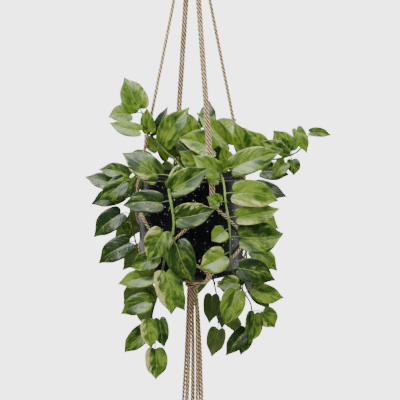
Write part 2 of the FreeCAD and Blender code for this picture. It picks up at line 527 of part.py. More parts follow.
vines = {
    "vine_front_left": dict(
        stem="MainStemRadius",
        route=[(-12, -30, stemStart), (-16, -50, -524), (-26, -76, -511), (-37, -95, -523),
               (-41, -102, -548), (-35, -108, -578), (-30, -111, -608), (-35, -111, -638),
               (-46, -107, -664), (-52, -100, -694), (-56, -93, -726), (-66, -87, -756),
               (-74, -84, -786), (-69, -82, -817), (-67, -81, -834)],
        facing=(0, -1, 0.35),
        leaves=[
            ((-62, -82, -527), (-123, -76, -489), 46),
            ((-32, -116, -548), (28, -118, -510), 46),
            ((-55, -112, -573), (-121, -98, -579), 40),
            ((-22, -124, -597), (40, -130, -582), 45),
            ((-50, -122, -624), (-76, -120, -674), 47),
            ((-26, -122, -646), (3, -126, -711), 49),
            ((-62, -106, -668), (-109, -100, -690), 36),
            ((-46, -112, -699), (-36, -116, -772), 48),
            ((-36, -98, -718), (-12, -96, -770), 32),
            ((-70, -94, -707), (-132, -88, -722), 34),
            ((-78, -98, -752), (-127, -96, -775), 36),
            ((-80, -76, -729), (-79, -72, -781), 26),
            ((-78, -98, -789), (-73, -100, -839), 30),
            ((-58, -90, -788), (-50, -90, -839), 28),
            ((-84, -80, -808), (-123, -78, -852), 34),
            ((-66, -86, -845), (-66, -88, -900), 40),
        ]),
    "vine_front_right": dict(
        stem="StemRadius",
        route=[(14, -28, stemStart), (22, -46, -524), (37, -66, -513), (51, -84, -522),
               (58, -92, -546), (59, -95, -572), (65, -94, -600), (68, -93, -628),
               (68, -91, -656), (69, -85, -684), (77, -75, -713), (95, -62, -744),
               (113, -54, -775), (108, -52, -808)],
        facing=(0.05, -1, 0.3),
        leaves=[
            ((46, -106, -519), (2, -110, -490), 36),
            ((46, -98, -534), (24, -104, -527), 20),
            ((76, -88, -512), (156, -80, -487), 44),
            ((78, -98, -558), (154, -84, -573), 46),
            ((84, -98, -600), (156, -80, -588), 36),
            ((48, -108, -574), (27, -112, -562), 26),
            ((57, -106, -624), (35, -110, -641), 30),
            ((90, -92, -637), (164, -82, -632), 58),
            ((56, -104, -668), (14, -110, -690), 44),
            ((88, -84, -695), (150, -78, -718), 42),
            ((82, -90, -721), (44, -88, -728), 28),
            ((78, -98, -735), (60, -100, -794), 42),
            ((112, -66, -738), (168, -58, -755), 34),
            ((114, -66, -784), (104, -68, -839), 32),
            ((97, -60, -817), (62, -62, -863), 30),
            ((104, -46, -823), (90, -44, -867), 28),
            ((130, -50, -784), (153, -46, -814), 36),
        ]),
    "vine_left": dict(
        stem="StemRadius",
        route=[(-30, -16, stemStart), (-54, -28, -526), (-82, -38, -519), (-103, -43, -538),
               (-111, -44, -570), (-112, -44, -602), (-107, -46, -632), (-101, -49, -660),
               (-95, -54, -686)],
        facing=(0, -1, 0.25),
        leaves=[
            ((-114, -52, -532), (-168, -46, -521), 30),
            ((-140, -26, -549), (-196, -18, -538), 30),
            ((-122, -66, -541), (-166, -64, -575), 36),
            ((-126, -42, -566), (-183, -36, -586), 34),
            ((-130, -48, -602), (-178, -46, -645), 40),
            ((-114, -56, -654), (-170, -54, -692), 40),
            ((-122, -34, -622), (-113, -30, -642), 16),
        ]),
    "vine_upper_left": dict(
        stem="StemRadius",
        route=[(-8, -12, stemStart), (-13, -20, -530), (-25, -27, -511), (-44, -31, -494),
               (-63, -33, -475), (-78, -34, -456), (-86, -35, -436), (-89, -36, -420)],
        facing=(0, -1, 0.3),
        leaves=[
            ((-94, -42, -410), (-121, -38, -356), 46),
            ((-110, -46, -422), (-150, -42, -427), 32),
            ((-103, -22, -408), (-135, -16, -420), 30),
            ((-94, -62, -450), (-147, -58, -436), 26),
            ((-76, -50, -452), (-80, -52, -410), 26),
            ((-64, -42, -458), (-43, -38, -408), 22),
            ((-48, -46, -471), (-4, -50, -409), 42),
            ((-64, -8, -488), (-88, -2, -461), 24),
            ((-42, -12, -502), (-58, -8, -454), 34),
        ]),
    "vine_crown": dict(
        stem="StemRadius",
        route=[(6, 8, stemStart), (8, 13, -530), (12, 20, -505), (17, 26, -480), (20, 28, -458)],
        facing=(0, -1, 0.5),
        leaves=[
            ((38, -52, -484), (-24, -60, -464), 46),
            ((66, -12, -478), (8, -18, -420), 36),
            ((12, -60, -514), (-22, -66, -486), 34),
            ((66, -36, -522), (56, -40, -478), 28),
            ((48, -16, -508), (38, -14, -466), 28),
            ((2, 44, -470), (-18, 46, -418), 40),
            ((44, 40, -474), (84, 52, -436), 42),
            ((-8, 52, -496), (-58, 62, -468), 44),
            ((30, 56, -500), (72, 80, -482), 42),
            ((10, 58, -510), (-28, 70, -494), 38),
            ((26, 42, -448), (32, 50, -402), 32),
        ]),
    "vine_right": dict(
        stem="StemRadius",
        route=[(26, 2, stemStart), (42, 2, -525), (72, 1, -510), (104, 0, -506), (136, 1, -509),
               (166, 2, -506), (193, 2, -496), (208, 2, -480), (213, 2, -467)],
        facing=(0.1, -1, 0.3),
        leaves=[
            ((94, -32, -489), (76, -36, -436), 34),
            ((106, 22, -472), (84, 26, -450), 20),
            ((132, -12, -489), (106, -16, -453), 34),
            ((162, -38, -484), (125, -42, -471), 24),
            ((180, -24, -489), (148, -22, -452), 42),
            ((192, -8, -452), (211, -12, -495), 24),
            ((218, 2, -458), (257, 6, -463), 18),
            ((170, -14, -512), (150, -18, -539), 28),
            ((184, -10, -508), (187, -14, -536), 24),
        ]),
    "vine_right_back": dict(
        stem="StemRadius",
        route=[(22, 16, stemStart), (42, 34, -526), (70, 54, -517), (91, 67, -532), (98, 71, -562),
               (101, 69, -594), (101, 65, -626), (103, 59, -656), (105, 51, -686), (103, 45, -718),
               (98, 41, -748), (95, 39, -775)],
        facing=(0.35, -1, 0.3),
        leaves=[
            ((132, 26, -532), (181, 20, -538), 34),
            ((118, 44, -566), (178, 22, -580), 36),
            ((118, 34, -606), (162, 14, -640), 34),
            ((118, 30, -684), (161, 12, -720), 36),
            ((112, 22, -742), (146, 6, -794), 38),
            ((96, 94, -576), (128, 108, -612), 40),
            ((116, 78, -640), (150, 84, -680), 38),
            ((88, 60, -722), (70, 62, -775), 36),
            ((92, 84, -520), (132, 98, -506), 40),
            ((84, 96, -610), (58, 112, -580), 34),
            ((88, 82, -672), (66, 98, -720), 38),
        ]),
    "vine_back": dict(
        stem="StemRadius",
        route=[(4, 24, stemStart), (9, 52, -523), (15, 82, -516), (19, 103, -532), (20, 113, -564),
               (18, 116, -598), (18, 115, -632), (22, 111, -664), (28, 102, -693), (34, 90, -722),
               (41, 78, -751), (47, 67, -779), (52, 58, -808), (50, 54, -832)],
        facing=(0, 1, 0.35),
        leaves=[
            ((22, 62, -751), (-8, 46, -778), 34),
            ((38, 50, -778), (32, 42, -830), 32),
            ((50, 46, -845), (37, 40, -896), 38),
            ((64, 46, -819), (95, 34, -851), 30),
            ((32, 126, -558), (72, 132, -580), 42),
            ((6, 128, -590), (-36, 134, -612), 44),
            ((32, 128, -620), (68, 136, -652), 42),
            ((8, 124, -660), (-20, 132, -702), 40),
            ((42, 114, -690), (78, 120, -729), 40),
            ((16, 102, -718), (-12, 106, -766), 36),
            ((60, 84, -757), (96, 88, -797), 34),
            ((6, 118, -530), (-34, 128, -520), 38),
            ((28, 112, -524), (62, 122, -506), 40),
            ((70, 86, -799), (58, 84, -852), 32),
        ]),
    "vine_back_left": dict(
        stem="StemRadius",
        route=[(-14, 18, stemStart), (-33, 44, -526), (-50, 69, -515), (-62, 87, -530), (-68, 94, -560),
               (-73, 93, -592), (-77, 88, -624), (-79, 83, -656), (-81, 75, -688), (-84, 66, -720),
               (-88, 60, -751), (-90, 57, -775)],
        facing=(-0.4, 1, 0.35),
        leaves=[
            ((-82, 104, -556), (-122, 112, -580), 42),
            ((-58, 110, -590), (-26, 128, -622), 40),
            ((-92, 92, -622), (-134, 86, -652), 42),
            ((-64, 100, -656), (-42, 112, -700), 40),
            ((-96, 76, -690), (-136, 68, -731), 38),
            ((-72, 78, -718), (-50, 84, -766), 36),
            ((-100, 60, -753), (-134, 52, -795), 36),
            ((-90, 64, -790), (-92, 68, -845), 36),
            ((-84, 78, -520), (-128, 84, -508), 38),
            ((-58, 106, -536), (-30, 124, -560), 34),
            ((-104, 40, -560), (-150, 30, -590), 38),
            ((-104, 44, -640), (-150, 36, -672), 38),
        ]),
}

# Half a leaf's outline as shares of its length and its width, from the stalk's notch to the tip
leafOutline = [(0.0, 0.12), (0.18, 0.44), (0.42, 0.5), (0.7, 0.32)]


def leafPlate(base, tip, width, facing):
    """A flat leaf: its outline's upper face, a smaller lower face, and bevelled edges between."""
    along = tip - base
    length = along.Length
    along.normalize()
    normal = facing - along * facing.dot(along)
    normal.normalize()
    across = normal.cross(along)

    def ring(shrink, lift):
        shares = ([(u, v) for u, v in leafOutline] + [(1.0, 0.0)]
                  + [(u, -v) for u, v in reversed(leafOutline)])
        points = []
        for u, v in shares:
            u = 0.45 + (u - 0.45) * shrink
            points.append(base + along * (u * length) + across * (v * shrink * width) + normal * lift)
        return points

    upper = ring(1.0, 0.0)
    lower = ring(0.96, -size["LeafThickness"])
    count = len(upper)
    faces = [Part.Face(Part.makePolygon(upper + upper[:1])), Part.Face(Part.makePolygon(lower + lower[:1]))]
    for i in range(count):
        j = (i + 1) % count
        faces.append(Part.Face(Part.makePolygon([upper[i], upper[j], lower[j], lower[i], upper[i]])))
    return Part.makeSolid(Part.makeShell(faces))


def nearestOn(points, target):
    """The point of a run of straight stretches that is nearest to a target."""
    best = None
    for a, b in zip(points, points[1:]):
        run = b - a
        share = max(0.0, min(1.0, (target - a).dot(run) / run.dot(run)))
        spot = a + run * share
        if best is None or (target - spot).Length < (target - best).Length:
            best = spot
    return best


for name, vine in vines.items():
    route = [grown(point) for point in vine["route"]]
    tube(name + "_stem", route, vine["stem"])
    facing = Vector(*vine["facing"])
    plates = []
    stalks = []
    for drawnBase, drawnTip, width in vine["leaves"]:
        base = grown(drawnBase)
        tip = base + Vector(*drawnTip) - Vector(*drawnBase)
        plate = leafPlate(base, tip, width, facing)
        if not plate.isValid() or plate.Volume <= 0:
            raise RuntimeError(f"{name}: a leaf at {base} is not a good solid")
        plates.append(plate)
        root = nearestOn(route[2:], base)
        reach = base - root
        stalks.append(Part.makeCylinder(size["StalkRadius"], reach.Length, root, reach))
    for kind, solids in (("_stalks", stalks), ("_leaves", plates)):
        group = doc.addObject("Part::Feature", name + kind)
        group.Shape = Part.makeCompound(solids)
        group.Placement = Placement()
        keep(group, name + kind)

# ---------------------------------------------------------------- check and write

doc.recompute()
for piece in doc.Objects:
    if "Invalid" in piece.State or "Error" in piece.State:
        raise RuntimeError(f"{piece.Label} did not recompute: {piece.State}")
os.makedirs("parts", exist_ok=True)
for piece in subParts:
    if piece.Shape.isNull() or not piece.Shape.isValid():
        raise RuntimeError(f"{piece.Label} has no valid shape")
    piece.Shape.exportStep(f"parts/{piece.Label}.step")
print(f"{len(subParts)} sub-parts written")
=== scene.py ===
import math

import bpy
import numpy as np
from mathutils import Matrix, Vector


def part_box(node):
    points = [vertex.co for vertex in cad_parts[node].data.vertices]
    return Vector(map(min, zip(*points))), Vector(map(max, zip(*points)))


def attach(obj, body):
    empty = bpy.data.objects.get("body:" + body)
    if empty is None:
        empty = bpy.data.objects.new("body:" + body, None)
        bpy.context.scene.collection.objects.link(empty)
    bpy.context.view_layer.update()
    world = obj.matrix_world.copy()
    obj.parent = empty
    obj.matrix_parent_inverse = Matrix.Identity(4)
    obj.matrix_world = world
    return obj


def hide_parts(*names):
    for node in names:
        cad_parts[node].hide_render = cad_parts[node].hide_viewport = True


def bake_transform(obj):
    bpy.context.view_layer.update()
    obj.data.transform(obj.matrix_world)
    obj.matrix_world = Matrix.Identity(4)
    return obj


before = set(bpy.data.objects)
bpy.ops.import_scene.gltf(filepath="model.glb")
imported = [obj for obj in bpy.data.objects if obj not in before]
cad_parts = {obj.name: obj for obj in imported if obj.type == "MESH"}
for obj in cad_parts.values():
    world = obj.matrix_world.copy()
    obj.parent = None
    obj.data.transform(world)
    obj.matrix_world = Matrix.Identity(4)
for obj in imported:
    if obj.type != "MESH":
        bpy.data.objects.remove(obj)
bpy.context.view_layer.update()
print("frame loaded")

hanger = {
    "cord": 0.005,             # cord diameter
    "pairSpacing": 0.0053,     # between two cords that run side by side
    "bundleRadius": 0.008,     # from the axis to each pair where the cords are gathered
    "rimRadius": 0.095,
    "rimGap": 0.0013,
    "wallGap": 0.0006,         # between the pot and what lies on it
    "knotRadius": 0.0066,
    "rimKnotDrop": 0.042,      # the net's upper knots, below the pot's rim
    "sideKnotRise": 0.066,     # its middle and lowest knots, above the pot's base
    "baseKnotRise": 0.020,
    "knotShare": 0.0015,       # each cord's end stops this far from its knot's centre
    "armAngles": {"front": -69.0, "right": 10.0, "back": 110.0, "left": 192.0},
    "sideKnotAngles": {"front_right": -18.0, "back_right": 60.0,
                       "back_left": 151.0, "front_left": 243.0},
    "baseKnotAngles": {"front": -70.0, "right": 14.0, "back": 108.0, "left": 203.0},
}
potShape = {
    "bellyRadius": 0.0995,
    "bellyHeight": 0.098,      # above the base
    "barrelCurve": 0.4405,     # radius of the long upright curve
    "cornerCurve": 0.032,      # radius of the lower corner
    "throw": (0.00018, 0.00012),   # the unevenness of a hand-thrown wall
    "wall": 0.005,
    "floor": 0.008,
    "innerCorner": 0.024,
    "drainRadius": 0.007,
    "ridgeHeight": 0.161,      # a faint ridge below the rim's band
    "ridgeDepth": 0.0007,
    "ridgeWidth": 0.0016,
    "segments": 192,
}

potLow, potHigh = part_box("pot")
wrapLow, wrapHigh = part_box("top_wrap")
ringLow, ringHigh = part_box("hanging_ring")
gatherLow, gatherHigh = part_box("gathering_knot")
soilLow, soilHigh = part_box("soil")
tasselLow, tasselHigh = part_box("tassel_cord_1")
potBase, rimZ = potLow.z, potHigh.z
wrapTop, wrapBottom = wrapHigh.z, wrapLow.z
gatherZ = (gatherLow.z + gatherHigh.z) / 2
cordRadius = hanger["cord"] / 2
halfPair = hanger["pairSpacing"] / 2
rimKnotZ = rimZ - hanger["rimKnotDrop"]
sideKnotZ = potBase + hanger["sideKnotRise"]
baseKnotZ = potBase + hanger["baseKnotRise"]


def polar(angle, radius, z, sideways=0.0):
    # the point at a compass angle and radius, moved along the circle's tangent
    turn = math.radians(angle)
    return [radius * math.cos(turn) - sideways * math.sin(turn),
            radius * math.sin(turn) + sideways * math.cos(turn), z]


def gridFaces(rows, columns, closed, ringed=False):
    # each face joins a grid point to its neighbours in the next row and column; a closed grid's last
    # column meets its first, and a ringed one's last row meets its first
    r = np.arange(rows if ringed else rows - 1)[:, None]
    c = np.arange(columns if closed else columns - 1)[None, :]
    nextRow, nextColumn = (r + 1) % rows * columns, (c + 1) % columns
    return np.stack([r * columns + c, r * columns + nextColumn, nextRow + nextColumn, nextRow + c],
                    axis=-1).reshape(-1, 4)


def endFans(rows, columns, first):
    # triangles from a centre point to the first row, and from the point after it to the last row
    around = np.arange(columns)
    following = (around + 1) % columns
    top = (rows - 1) * columns
    return [np.stack([np.full(columns, first), following, around], axis=1),
            np.stack([np.full(columns, first + 1), top + around, top + following], axis=1)]


def gridUv(across, along):
    # one UV pair for each grid point, row by row
    shape = (len(along), len(across))
    return np.stack([np.broadcast_to(across[None, :], shape),
                     np.broadcast_to(along[:, None], shape)], axis=-1).reshape(-1, 2)


def makePiece(name, points, faces, materials, uv=None, attributes=None):
    # a mesh object at the origin from an array of points and a list of face arrays
    faceLists = [f for part in faces for f in part.tolist()]
    mesh = bpy.data.meshes.new(name)
    mesh.from_pydata(points.tolist(), [], faceLists)
    mesh.polygons.foreach_set("use_smooth", np.ones(len(mesh.polygons), dtype=bool))
    corners = np.zeros(len(mesh.loops), dtype=np.int32)
    mesh.loops.foreach_get("vertex_index", corners)
    if uv is not None:
        layer = mesh.uv_layers.new(name="pieceUv")
        layer.data.foreach_set("uv", uv[corners].ravel())
    for label, values in (attributes or {}).items():
        layer = mesh.attributes.new(label, "FLOAT", "POINT")
        layer.data.foreach_set("value", values)
    for material in materials:
        mesh.materials.append(material)
    mesh.update()
    piece = bpy.data.objects.new(name, mesh)
    bpy.context.scene.collection.objects.link(piece)
    return piece


def splineThrough(points, step):
    # a quadratic NURBS line whose control points are the route's points, read back at even spacing
    curve = bpy.data.curves.new("route", "CURVE")
    curve.dimensions = "3D"
    curve.resolution_u = 32
    spline = curve.splines.new("NURBS")
    spline.points.add(len(points) - 1)
    spline.points.foreach_set("co", np.hstack([points, np.ones((len(points), 1))]).ravel())
    spline.order_u = 3
    spline.use_endpoint_u = True
    holder = bpy.data.objects.new("route", curve)
    mesh = bpy.data.meshes.new_from_object(holder)
    line = np.zeros(len(mesh.vertices) * 3)
    mesh.vertices.foreach_get("co", line)
    line = line.reshape(-1, 3)
    bpy.data.objects.remove(holder)
    bpy.data.curves.remove(curve)
    bpy.data.meshes.remove(mesh)
    return evenly(line, step)


def evenly(line, step):
    # the same line with its points at even distances along it
    walked = lengthsAlong(line)
    count = max(4, int(round(walked[-1] / step)) + 1)
    at = np.linspace(0, walked[-1], count)
    return np.stack([np.interp(at, walked, line[:, k]) for k in range(3)], axis=1)


def lengthsAlong(line):
    # distance walked from the line's start to each of its points
    return np.concatenate([[0], np.cumsum(np.linalg.norm(np.diff(line, axis=0), axis=1))])


def unit(vectors):
    return vectors / np.maximum(np.linalg.norm(vectors, axis=-1, keepdims=True), 1e-12)


def framesAlong(line):
    # tangent and two side directions that don't spin: a rough side direction is made at each point,
    # and the running sum of how far it turns about the line is taken away again
    tangent = unit(np.gradient(line, axis=0))
    helper = np.where(np.abs(tangent[:, :1]) < 0.8, [[1.0, 0, 0]], [[0, 1.0, 0]])
    rough = unit(np.cross(tangent, helper))
    t0, t1 = tangent[:-1], tangent[1:]
    carried = rough[:-1] - ((t1 * rough[:-1]).sum(1) / (1 + (t0 * t1).sum(1)))[:, None] * (t0 + t1)
    turned = np.arctan2((np.cross(carried, rough[1:]) * t1).sum(1), (carried * rough[1:]).sum(1))
    angle = -np.concatenate([[0], np.cumsum(turned)])[:, None]
    other = np.cross(tangent, rough)
    side = np.cos(angle) * rough + np.sin(angle) * other
    return tangent, side, np.cross(tangent, side)


def carryProfile(line, radii, turn):
    # a closed profile, given as radii over one full turn, carried along the line and turned by an
    # angle at each of its points; both ends are closed by a fan about a centre point
    _, side, other = framesAlong(line)
    rows, columns = radii.shape
    angle = np.linspace(0, 2 * math.pi, columns, endpoint=False)[None, :] + turn[:, None]
    points = (line[:, None, :] + (radii * np.cos(angle))[..., None] * side[:, None, :]
              + (radii * np.sin(angle))[..., None] * other[:, None, :]).reshape(-1, 3)
    caps = endFans(rows, columns, len(points))
    return np.vstack([points, line[:1], line[-1:]]), gridFaces(rows, columns, True), caps


class Builder:
    # gathers several shapes into one mesh
    def __init__(self):
        self.points, self.quads, self.tris, self.uv = [], [], [], []
        self.extra = {}
        self.count = 0

    def add(self, points, quads=None, tris=(), uv=None, **extra):
        if quads is not None and len(quads):
            self.quads.append(quads + self.count)
        for t in tris:
            self.tris.append(t + self.count)
        self.points.append(points)
        self.uv.append(np.zeros((len(points), 2)) if uv is None else uv)
        for label, values in extra.items():
            self.extra.setdefault(label, []).append(np.broadcast_to(values, (len(points),)))
        self.count += len(points)

    def make(self, name, materials):
        faces = [np.vstack(kind) for kind in (self.quads, self.tris) if kind]
        attributes = {label: np.concatenate(v).astype(np.float32) for label, v in self.extra.items()}
        return makePiece(name, np.vstack(self.points), faces, materials, np.vstack(self.uv), attributes)


class Nodes:
    # the nodes of one material, group or world, with short ways to add and join them
    def __init__(self, tree):
        self.tree = tree

    def put(self, value, socket):
        # another node's output is linked; a number or colour is set on the socket itself
        if isinstance(value, bpy.types.NodeSocket):
            self.tree.links.new(value, socket)
        elif socket.type == "RGBA":
            socket.default_value = (*value, 1.0)
        else:
            socket.default_value = value

    def fill(self, node, values):
        for label, value in values.items():
            self.put(value, node.inputs[label])

    def add(self, kind, settings=None, inputs=None):
        node = self.tree.nodes.new(kind)
        for label, value in (settings or {}).items():
            setattr(node, label, value)
        self.fill(node, inputs or {})
        return node

    def math(self, operation, *values):
        return self.add("ShaderNodeMath", {"operation": operation}, dict(enumerate(values))).outputs[0]

    def mix(self, share, first, second):
        # sockets 6 and 7 of a Mix node are its two colours
        node = self.add("ShaderNodeMix", {"data_type": "RGBA", "clamp_factor": True},
                        {0: share, 6: first, 7: second})
        return node.outputs[2]

    def spread(self, value, low, high):
        # 0 below low, 1 above high, smooth between
        node = self.add("ShaderNodeMapRange", {"interpolation_type": "SMOOTHSTEP"},
                        {"Value": value, "From Min": low, "From Max": high})
        return node.outputs["Result"]

    def noise(self, place, scale, detail, roughness=0.5, distortion=0.0):
        node = self.add("ShaderNodeTexNoise", None, {"Vector": place, "Scale": scale, "Detail": detail,
                                                     "Roughness": roughness, "Distortion": distortion})
        return node.outputs["Fac"]

    def bump(self, height, strength, distance):
        node = self.add("ShaderNodeBump", None,
                        {"Height": height, "Strength": strength, "Distance": distance})
        return node.outputs["Normal"]

    def group(self, effect, **values):
        return self.add("ShaderNodeGroup", {"node_tree": effect}, values).outputs

    def attribute(self, name):
        return self.add("ShaderNodeAttribute", {"attribute_name": name}).outputs["Fac"]

    def objectPlace(self):
        return self.add("ShaderNodeTexCoord").outputs["Object"]

    def uvPlace(self):
        return self.add("ShaderNodeUVMap", {"uv_map": "pieceUv"}).outputs["UV"]

    def split(self, vector):
        return self.add("ShaderNodeSeparateXYZ", None, {"Vector": vector}).outputs

    def combine(self, **parts):
        return self.add("ShaderNodeCombineXYZ", None, parts).outputs[0]


def newMaterial(name):
    material = bpy.data.materials.new(name)
    material.use_nodes = True
    return material, Nodes(material.node_tree), material.node_tree.nodes["Principled BSDF"]


def newGroup(name, inputs, outputs):
    # an input is a number with its usual value, or a vector where that is None; outputs are numbers
    group = bpy.data.node_groups.new(name, "ShaderNodeTree")
    for label, value in inputs.items():
        kind = "NodeSocketVector" if value is None else "NodeSocketFloat"
        socket = group.interface.new_socket(label, in_out="INPUT", socket_type=kind)
        if value is not None:
            socket.default_value = value
    for label in outputs:
        group.interface.new_socket(label, in_out="OUTPUT", socket_type="NodeSocketFloat")
    nodes = Nodes(group)
    return group, nodes, nodes.add("NodeGroupInput").outputs, nodes.add("NodeGroupOutput")


# effects that several materials share

def makeMottle():
    # soft uneven patches: two noises of different size added, spread between Low and High
    group, nodes, given, out = newGroup(
        "mottle", {"Vector": None, "Size": 40.0, "Fine": 4.0, "Low": 0.35, "High": 0.65},
        ("Patches", "Grain"))
    broad = nodes.noise(given["Vector"], given["Size"], 3.0, 0.55)
    fineSize = nodes.math("MULTIPLY", given["Size"], given["Fine"])
    fine = nodes.noise(given["Vector"], fineSize, 2.0, 0.6)
    both = nodes.math("MULTIPLY_ADD", fine, 0.3, nodes.math("MULTIPLY", broad, 0.7))
    nodes.fill(out, {"Patches": nodes.spread(both, given["Low"], given["High"]), "Grain": fine})
    return group


leafMarks = {
    "veinLean": 0.34,                  # how far the veins run forwards on their way out
    "veinPairs": 9,
    "broad": (3.2, 1.3, 0.0, 2.0),     # patches along and across, a shift, and the detail
    "streaks": (9.0, 2.2, 11.0, 5.0),
    "flecks": (30.0, 9.0, 23.0, 3.0),
    "roughness": 0.62,
    "distortion": 0.6,
    "mostCream": 0.35,                 # what one half's bias to cream stops at
    "creamRange": (0.66, 0.8),
    "midribRange": (0.012, 0.05),      # from the midrib, as a share of the half width
    "midribFade": 0.6,                 # how much it has faded at the tip
    "edgeRange": (0.93, 1.0),
}


def makeLeafPattern():
    # marbling that follows the veins: along is the share of the blade's length less a part of the
    # distance from the midrib, so that lines of equal along run outwards and forwards as veins do
    group, nodes, given, out = newGroup(
        "leafPattern", {"Uv": None, "Seed": 0.0, "Cream": 0.0},
        ("Broad", "Streaks", "Flecks", "CreamMask", "Midrib", "Veins", "Edge"))
    marks = leafMarks
    blade = nodes.split(given["Uv"])
    across = nodes.math("MULTIPLY_ADD", blade["Y"], 2.0, -1.0)
    away = nodes.math("ABSOLUTE", across)
    along = nodes.math("MULTIPLY_ADD", away, -marks["veinLean"], blade["X"])

    def veinNoise(alongSize, acrossSize, shift, detail):
        place = nodes.combine(X=nodes.math("MULTIPLY", along, alongSize),
                              Y=nodes.math("MULTIPLY", across, acrossSize),
                              Z=nodes.math("MULTIPLY_ADD", given["Seed"], 37.0, shift))
        return nodes.noise(place, 1.0, detail, marks["roughness"], marks["distortion"])

    broad = veinNoise(*marks["broad"])
    streaks = veinNoise(*marks["streaks"])
    # Cream is negative for the left half and positive for the right; its size is how much of it turns
    total = nodes.math("MINIMUM", nodes.math("MULTIPLY", across, given["Cream"]), marks["mostCream"])
    total = nodes.math("MULTIPLY_ADD", broad, 0.35, total)
    total = nodes.math("MULTIPLY_ADD", streaks, 0.65, total)
    total = nodes.math("MULTIPLY_ADD", nodes.math("ABSOLUTE", given["Cream"]), 0.12, total)
    near = nodes.math("SUBTRACT", 1.0, nodes.spread(away, *marks["midribRange"]))
    fade = nodes.math("MULTIPLY_ADD", blade["X"], -marks["midribFade"], 1.0)
    turns = nodes.math("MULTIPLY", along, 2 * math.pi * marks["veinPairs"])
    nodes.fill(out, {
        "Broad": broad,
        "Streaks": streaks,
        "Flecks": veinNoise(*marks["flecks"]),
        "CreamMask": nodes.spread(total, *marks["creamRange"]),
        "Midrib": nodes.math("MULTIPLY", near, fade),
        "Veins": nodes.math("SINE", turns),
        "Edge": nodes.spread(away, *marks["edgeRange"]),
    })
    return group


def makeFibre():
    # jute fibres: long thin streaks in the cord's own UV, tilted against the way its strands turn
    group, nodes, given, out = newGroup("fibre", {"Uv": None, "Slant": 0.5}, ("Streaks", "Uneven"))
    cord = nodes.split(given["Uv"])
    slanted = nodes.math("MULTIPLY_ADD", cord["Y"], given["Slant"], cord["X"])
    place = nodes.combine(X=nodes.math("MULTIPLY", slanted, 40.0), Y=nodes.math("MULTIPLY", cord["Y"], 1.7))
    nodes.fill(out, {"Streaks": nodes.noise(place, 1.0, 4.0, 0.7),
                     "Uneven": nodes.noise(given["Uv"], 0.45, 3.0)})
    return group


mottle = makeMottle()
leafPattern = makeLeafPattern()
fibre = makeFibre()


def mottledMaterial(name, look):
    # a material with the mottle group already laid over the piece's own coordinates
    material, nodes, principled = newMaterial(name)
    return material, nodes, principled, nodes.group(mottle, Vector=nodes.objectPlace(), **look["mottle"])


juteLook = {
    "light": (0.92, 0.71, 0.42),
    "dark": (0.43, 0.275, 0.11),
    "uneven": (0.62, 0.42, 0.22),
    "unevenShare": 0.35,
    # painted shade: the dark colour laid into the creases between the strands and over the cores
    "crease": (0.06, 0.031, 0.009),
    "slant": -0.35,
    "streakRange": (0.4, 0.6),
    "creaseRange": (0.18, 0.95),
    "bump": (1.0, 0.0009),      # strength and distance
    "gloss": {"Roughness": 0.82, "Specular IOR Level": 0.25, "Sheen Weight": 0.25, "Sheen Roughness": 0.5},
}


def makeJute():
    look = juteLook
    material, nodes, principled = newMaterial("jute")
    fibres = nodes.group(fibre, Uv=nodes.uvPlace(), Slant=look["slant"])
    tone = nodes.mix(nodes.spread(fibres["Streaks"], *look["streakRange"]), look["dark"], look["light"])
    tone = nodes.mix(nodes.math("MULTIPLY", fibres["Uneven"], look["unevenShare"]), tone, look["uneven"])
    # painted shade: darker in the creases between strands, by the cord's crease shade attribute
    tone = nodes.mix(nodes.spread(nodes.attribute("crease"), *look["creaseRange"]), tone, look["crease"])
    nodes.fill(principled, {"Base Color": tone, "Normal": nodes.bump(fibres["Streaks"], *look["bump"]),
                            **look["gloss"]})
    return material


glazeLook = {
    "mottle": {"Size": 20.0, "Fine": 3.0, "Low": 0.3, "High": 0.52},
    "black": (0.0055, 0.0055, 0.007),
    "white": (0.72, 0.72, 0.74),
    "scatters": ((135.0, 0.21), (240.0, 0.25)),     # points to the metre, and the largest speck
    "warp": 0.0025,             # how far a speck's outline is bent
    "edgeRange": (-0.035, 0.015),
    "roughness": (0.1, 0.24),   # what the grain adds, and the least
    "bump": (0.1, 0.0005),
}


def makeGlaze():
    # near-black gloss with white speckles: around scattered points, those nearer than a random
    # radius are white; a coarse and a fine scatter are added, and thinned out in places
    look = glazeLook
    material, nodes, principled, patches = mottledMaterial("speckledGlaze", look)
    place = nodes.objectPlace()
    masks = []
    for scale, largest in look["scatters"]:
        warp = nodes.add("ShaderNodeTexNoise", None, {"Vector": place, "Scale": scale * 3, "Detail": 1.0})
        # sockets 4 and 5 of a Mix node are its two vectors
        bent = nodes.add("ShaderNodeMix", {"data_type": "VECTOR"},
                         {0: look["warp"], 4: place, 5: warp.outputs["Color"]})
        cells = nodes.add("ShaderNodeTexVoronoi", {"feature": "F1"},
                          {"Vector": bent.outputs[1], "Scale": scale, "Randomness": 1.0})
        pick = nodes.add("ShaderNodeSeparateColor", None, {0: cells.outputs["Color"]})
        size = nodes.math("MULTIPLY", nodes.math("POWER", pick.outputs[0], 2.0), largest)
        grown = nodes.math("SUBTRACT", cells.outputs["Distance"], size)
        masks.append(nodes.math("SUBTRACT", 1.0, nodes.spread(grown, *look["edgeRange"])))
    specks = nodes.math("MULTIPLY", nodes.math("MAXIMUM", *masks), patches["Patches"])
    height = nodes.math("MULTIPLY_ADD", specks, 0.5, patches["Patches"])
    nodes.fill(principled, {
        "Base Color": nodes.mix(specks, look["black"], look["white"]),
        "Roughness": nodes.math("MULTIPLY_ADD", patches["Grain"], *look["roughness"]),
        "Normal": nodes.bump(height, *look["bump"]),
    })
    return material


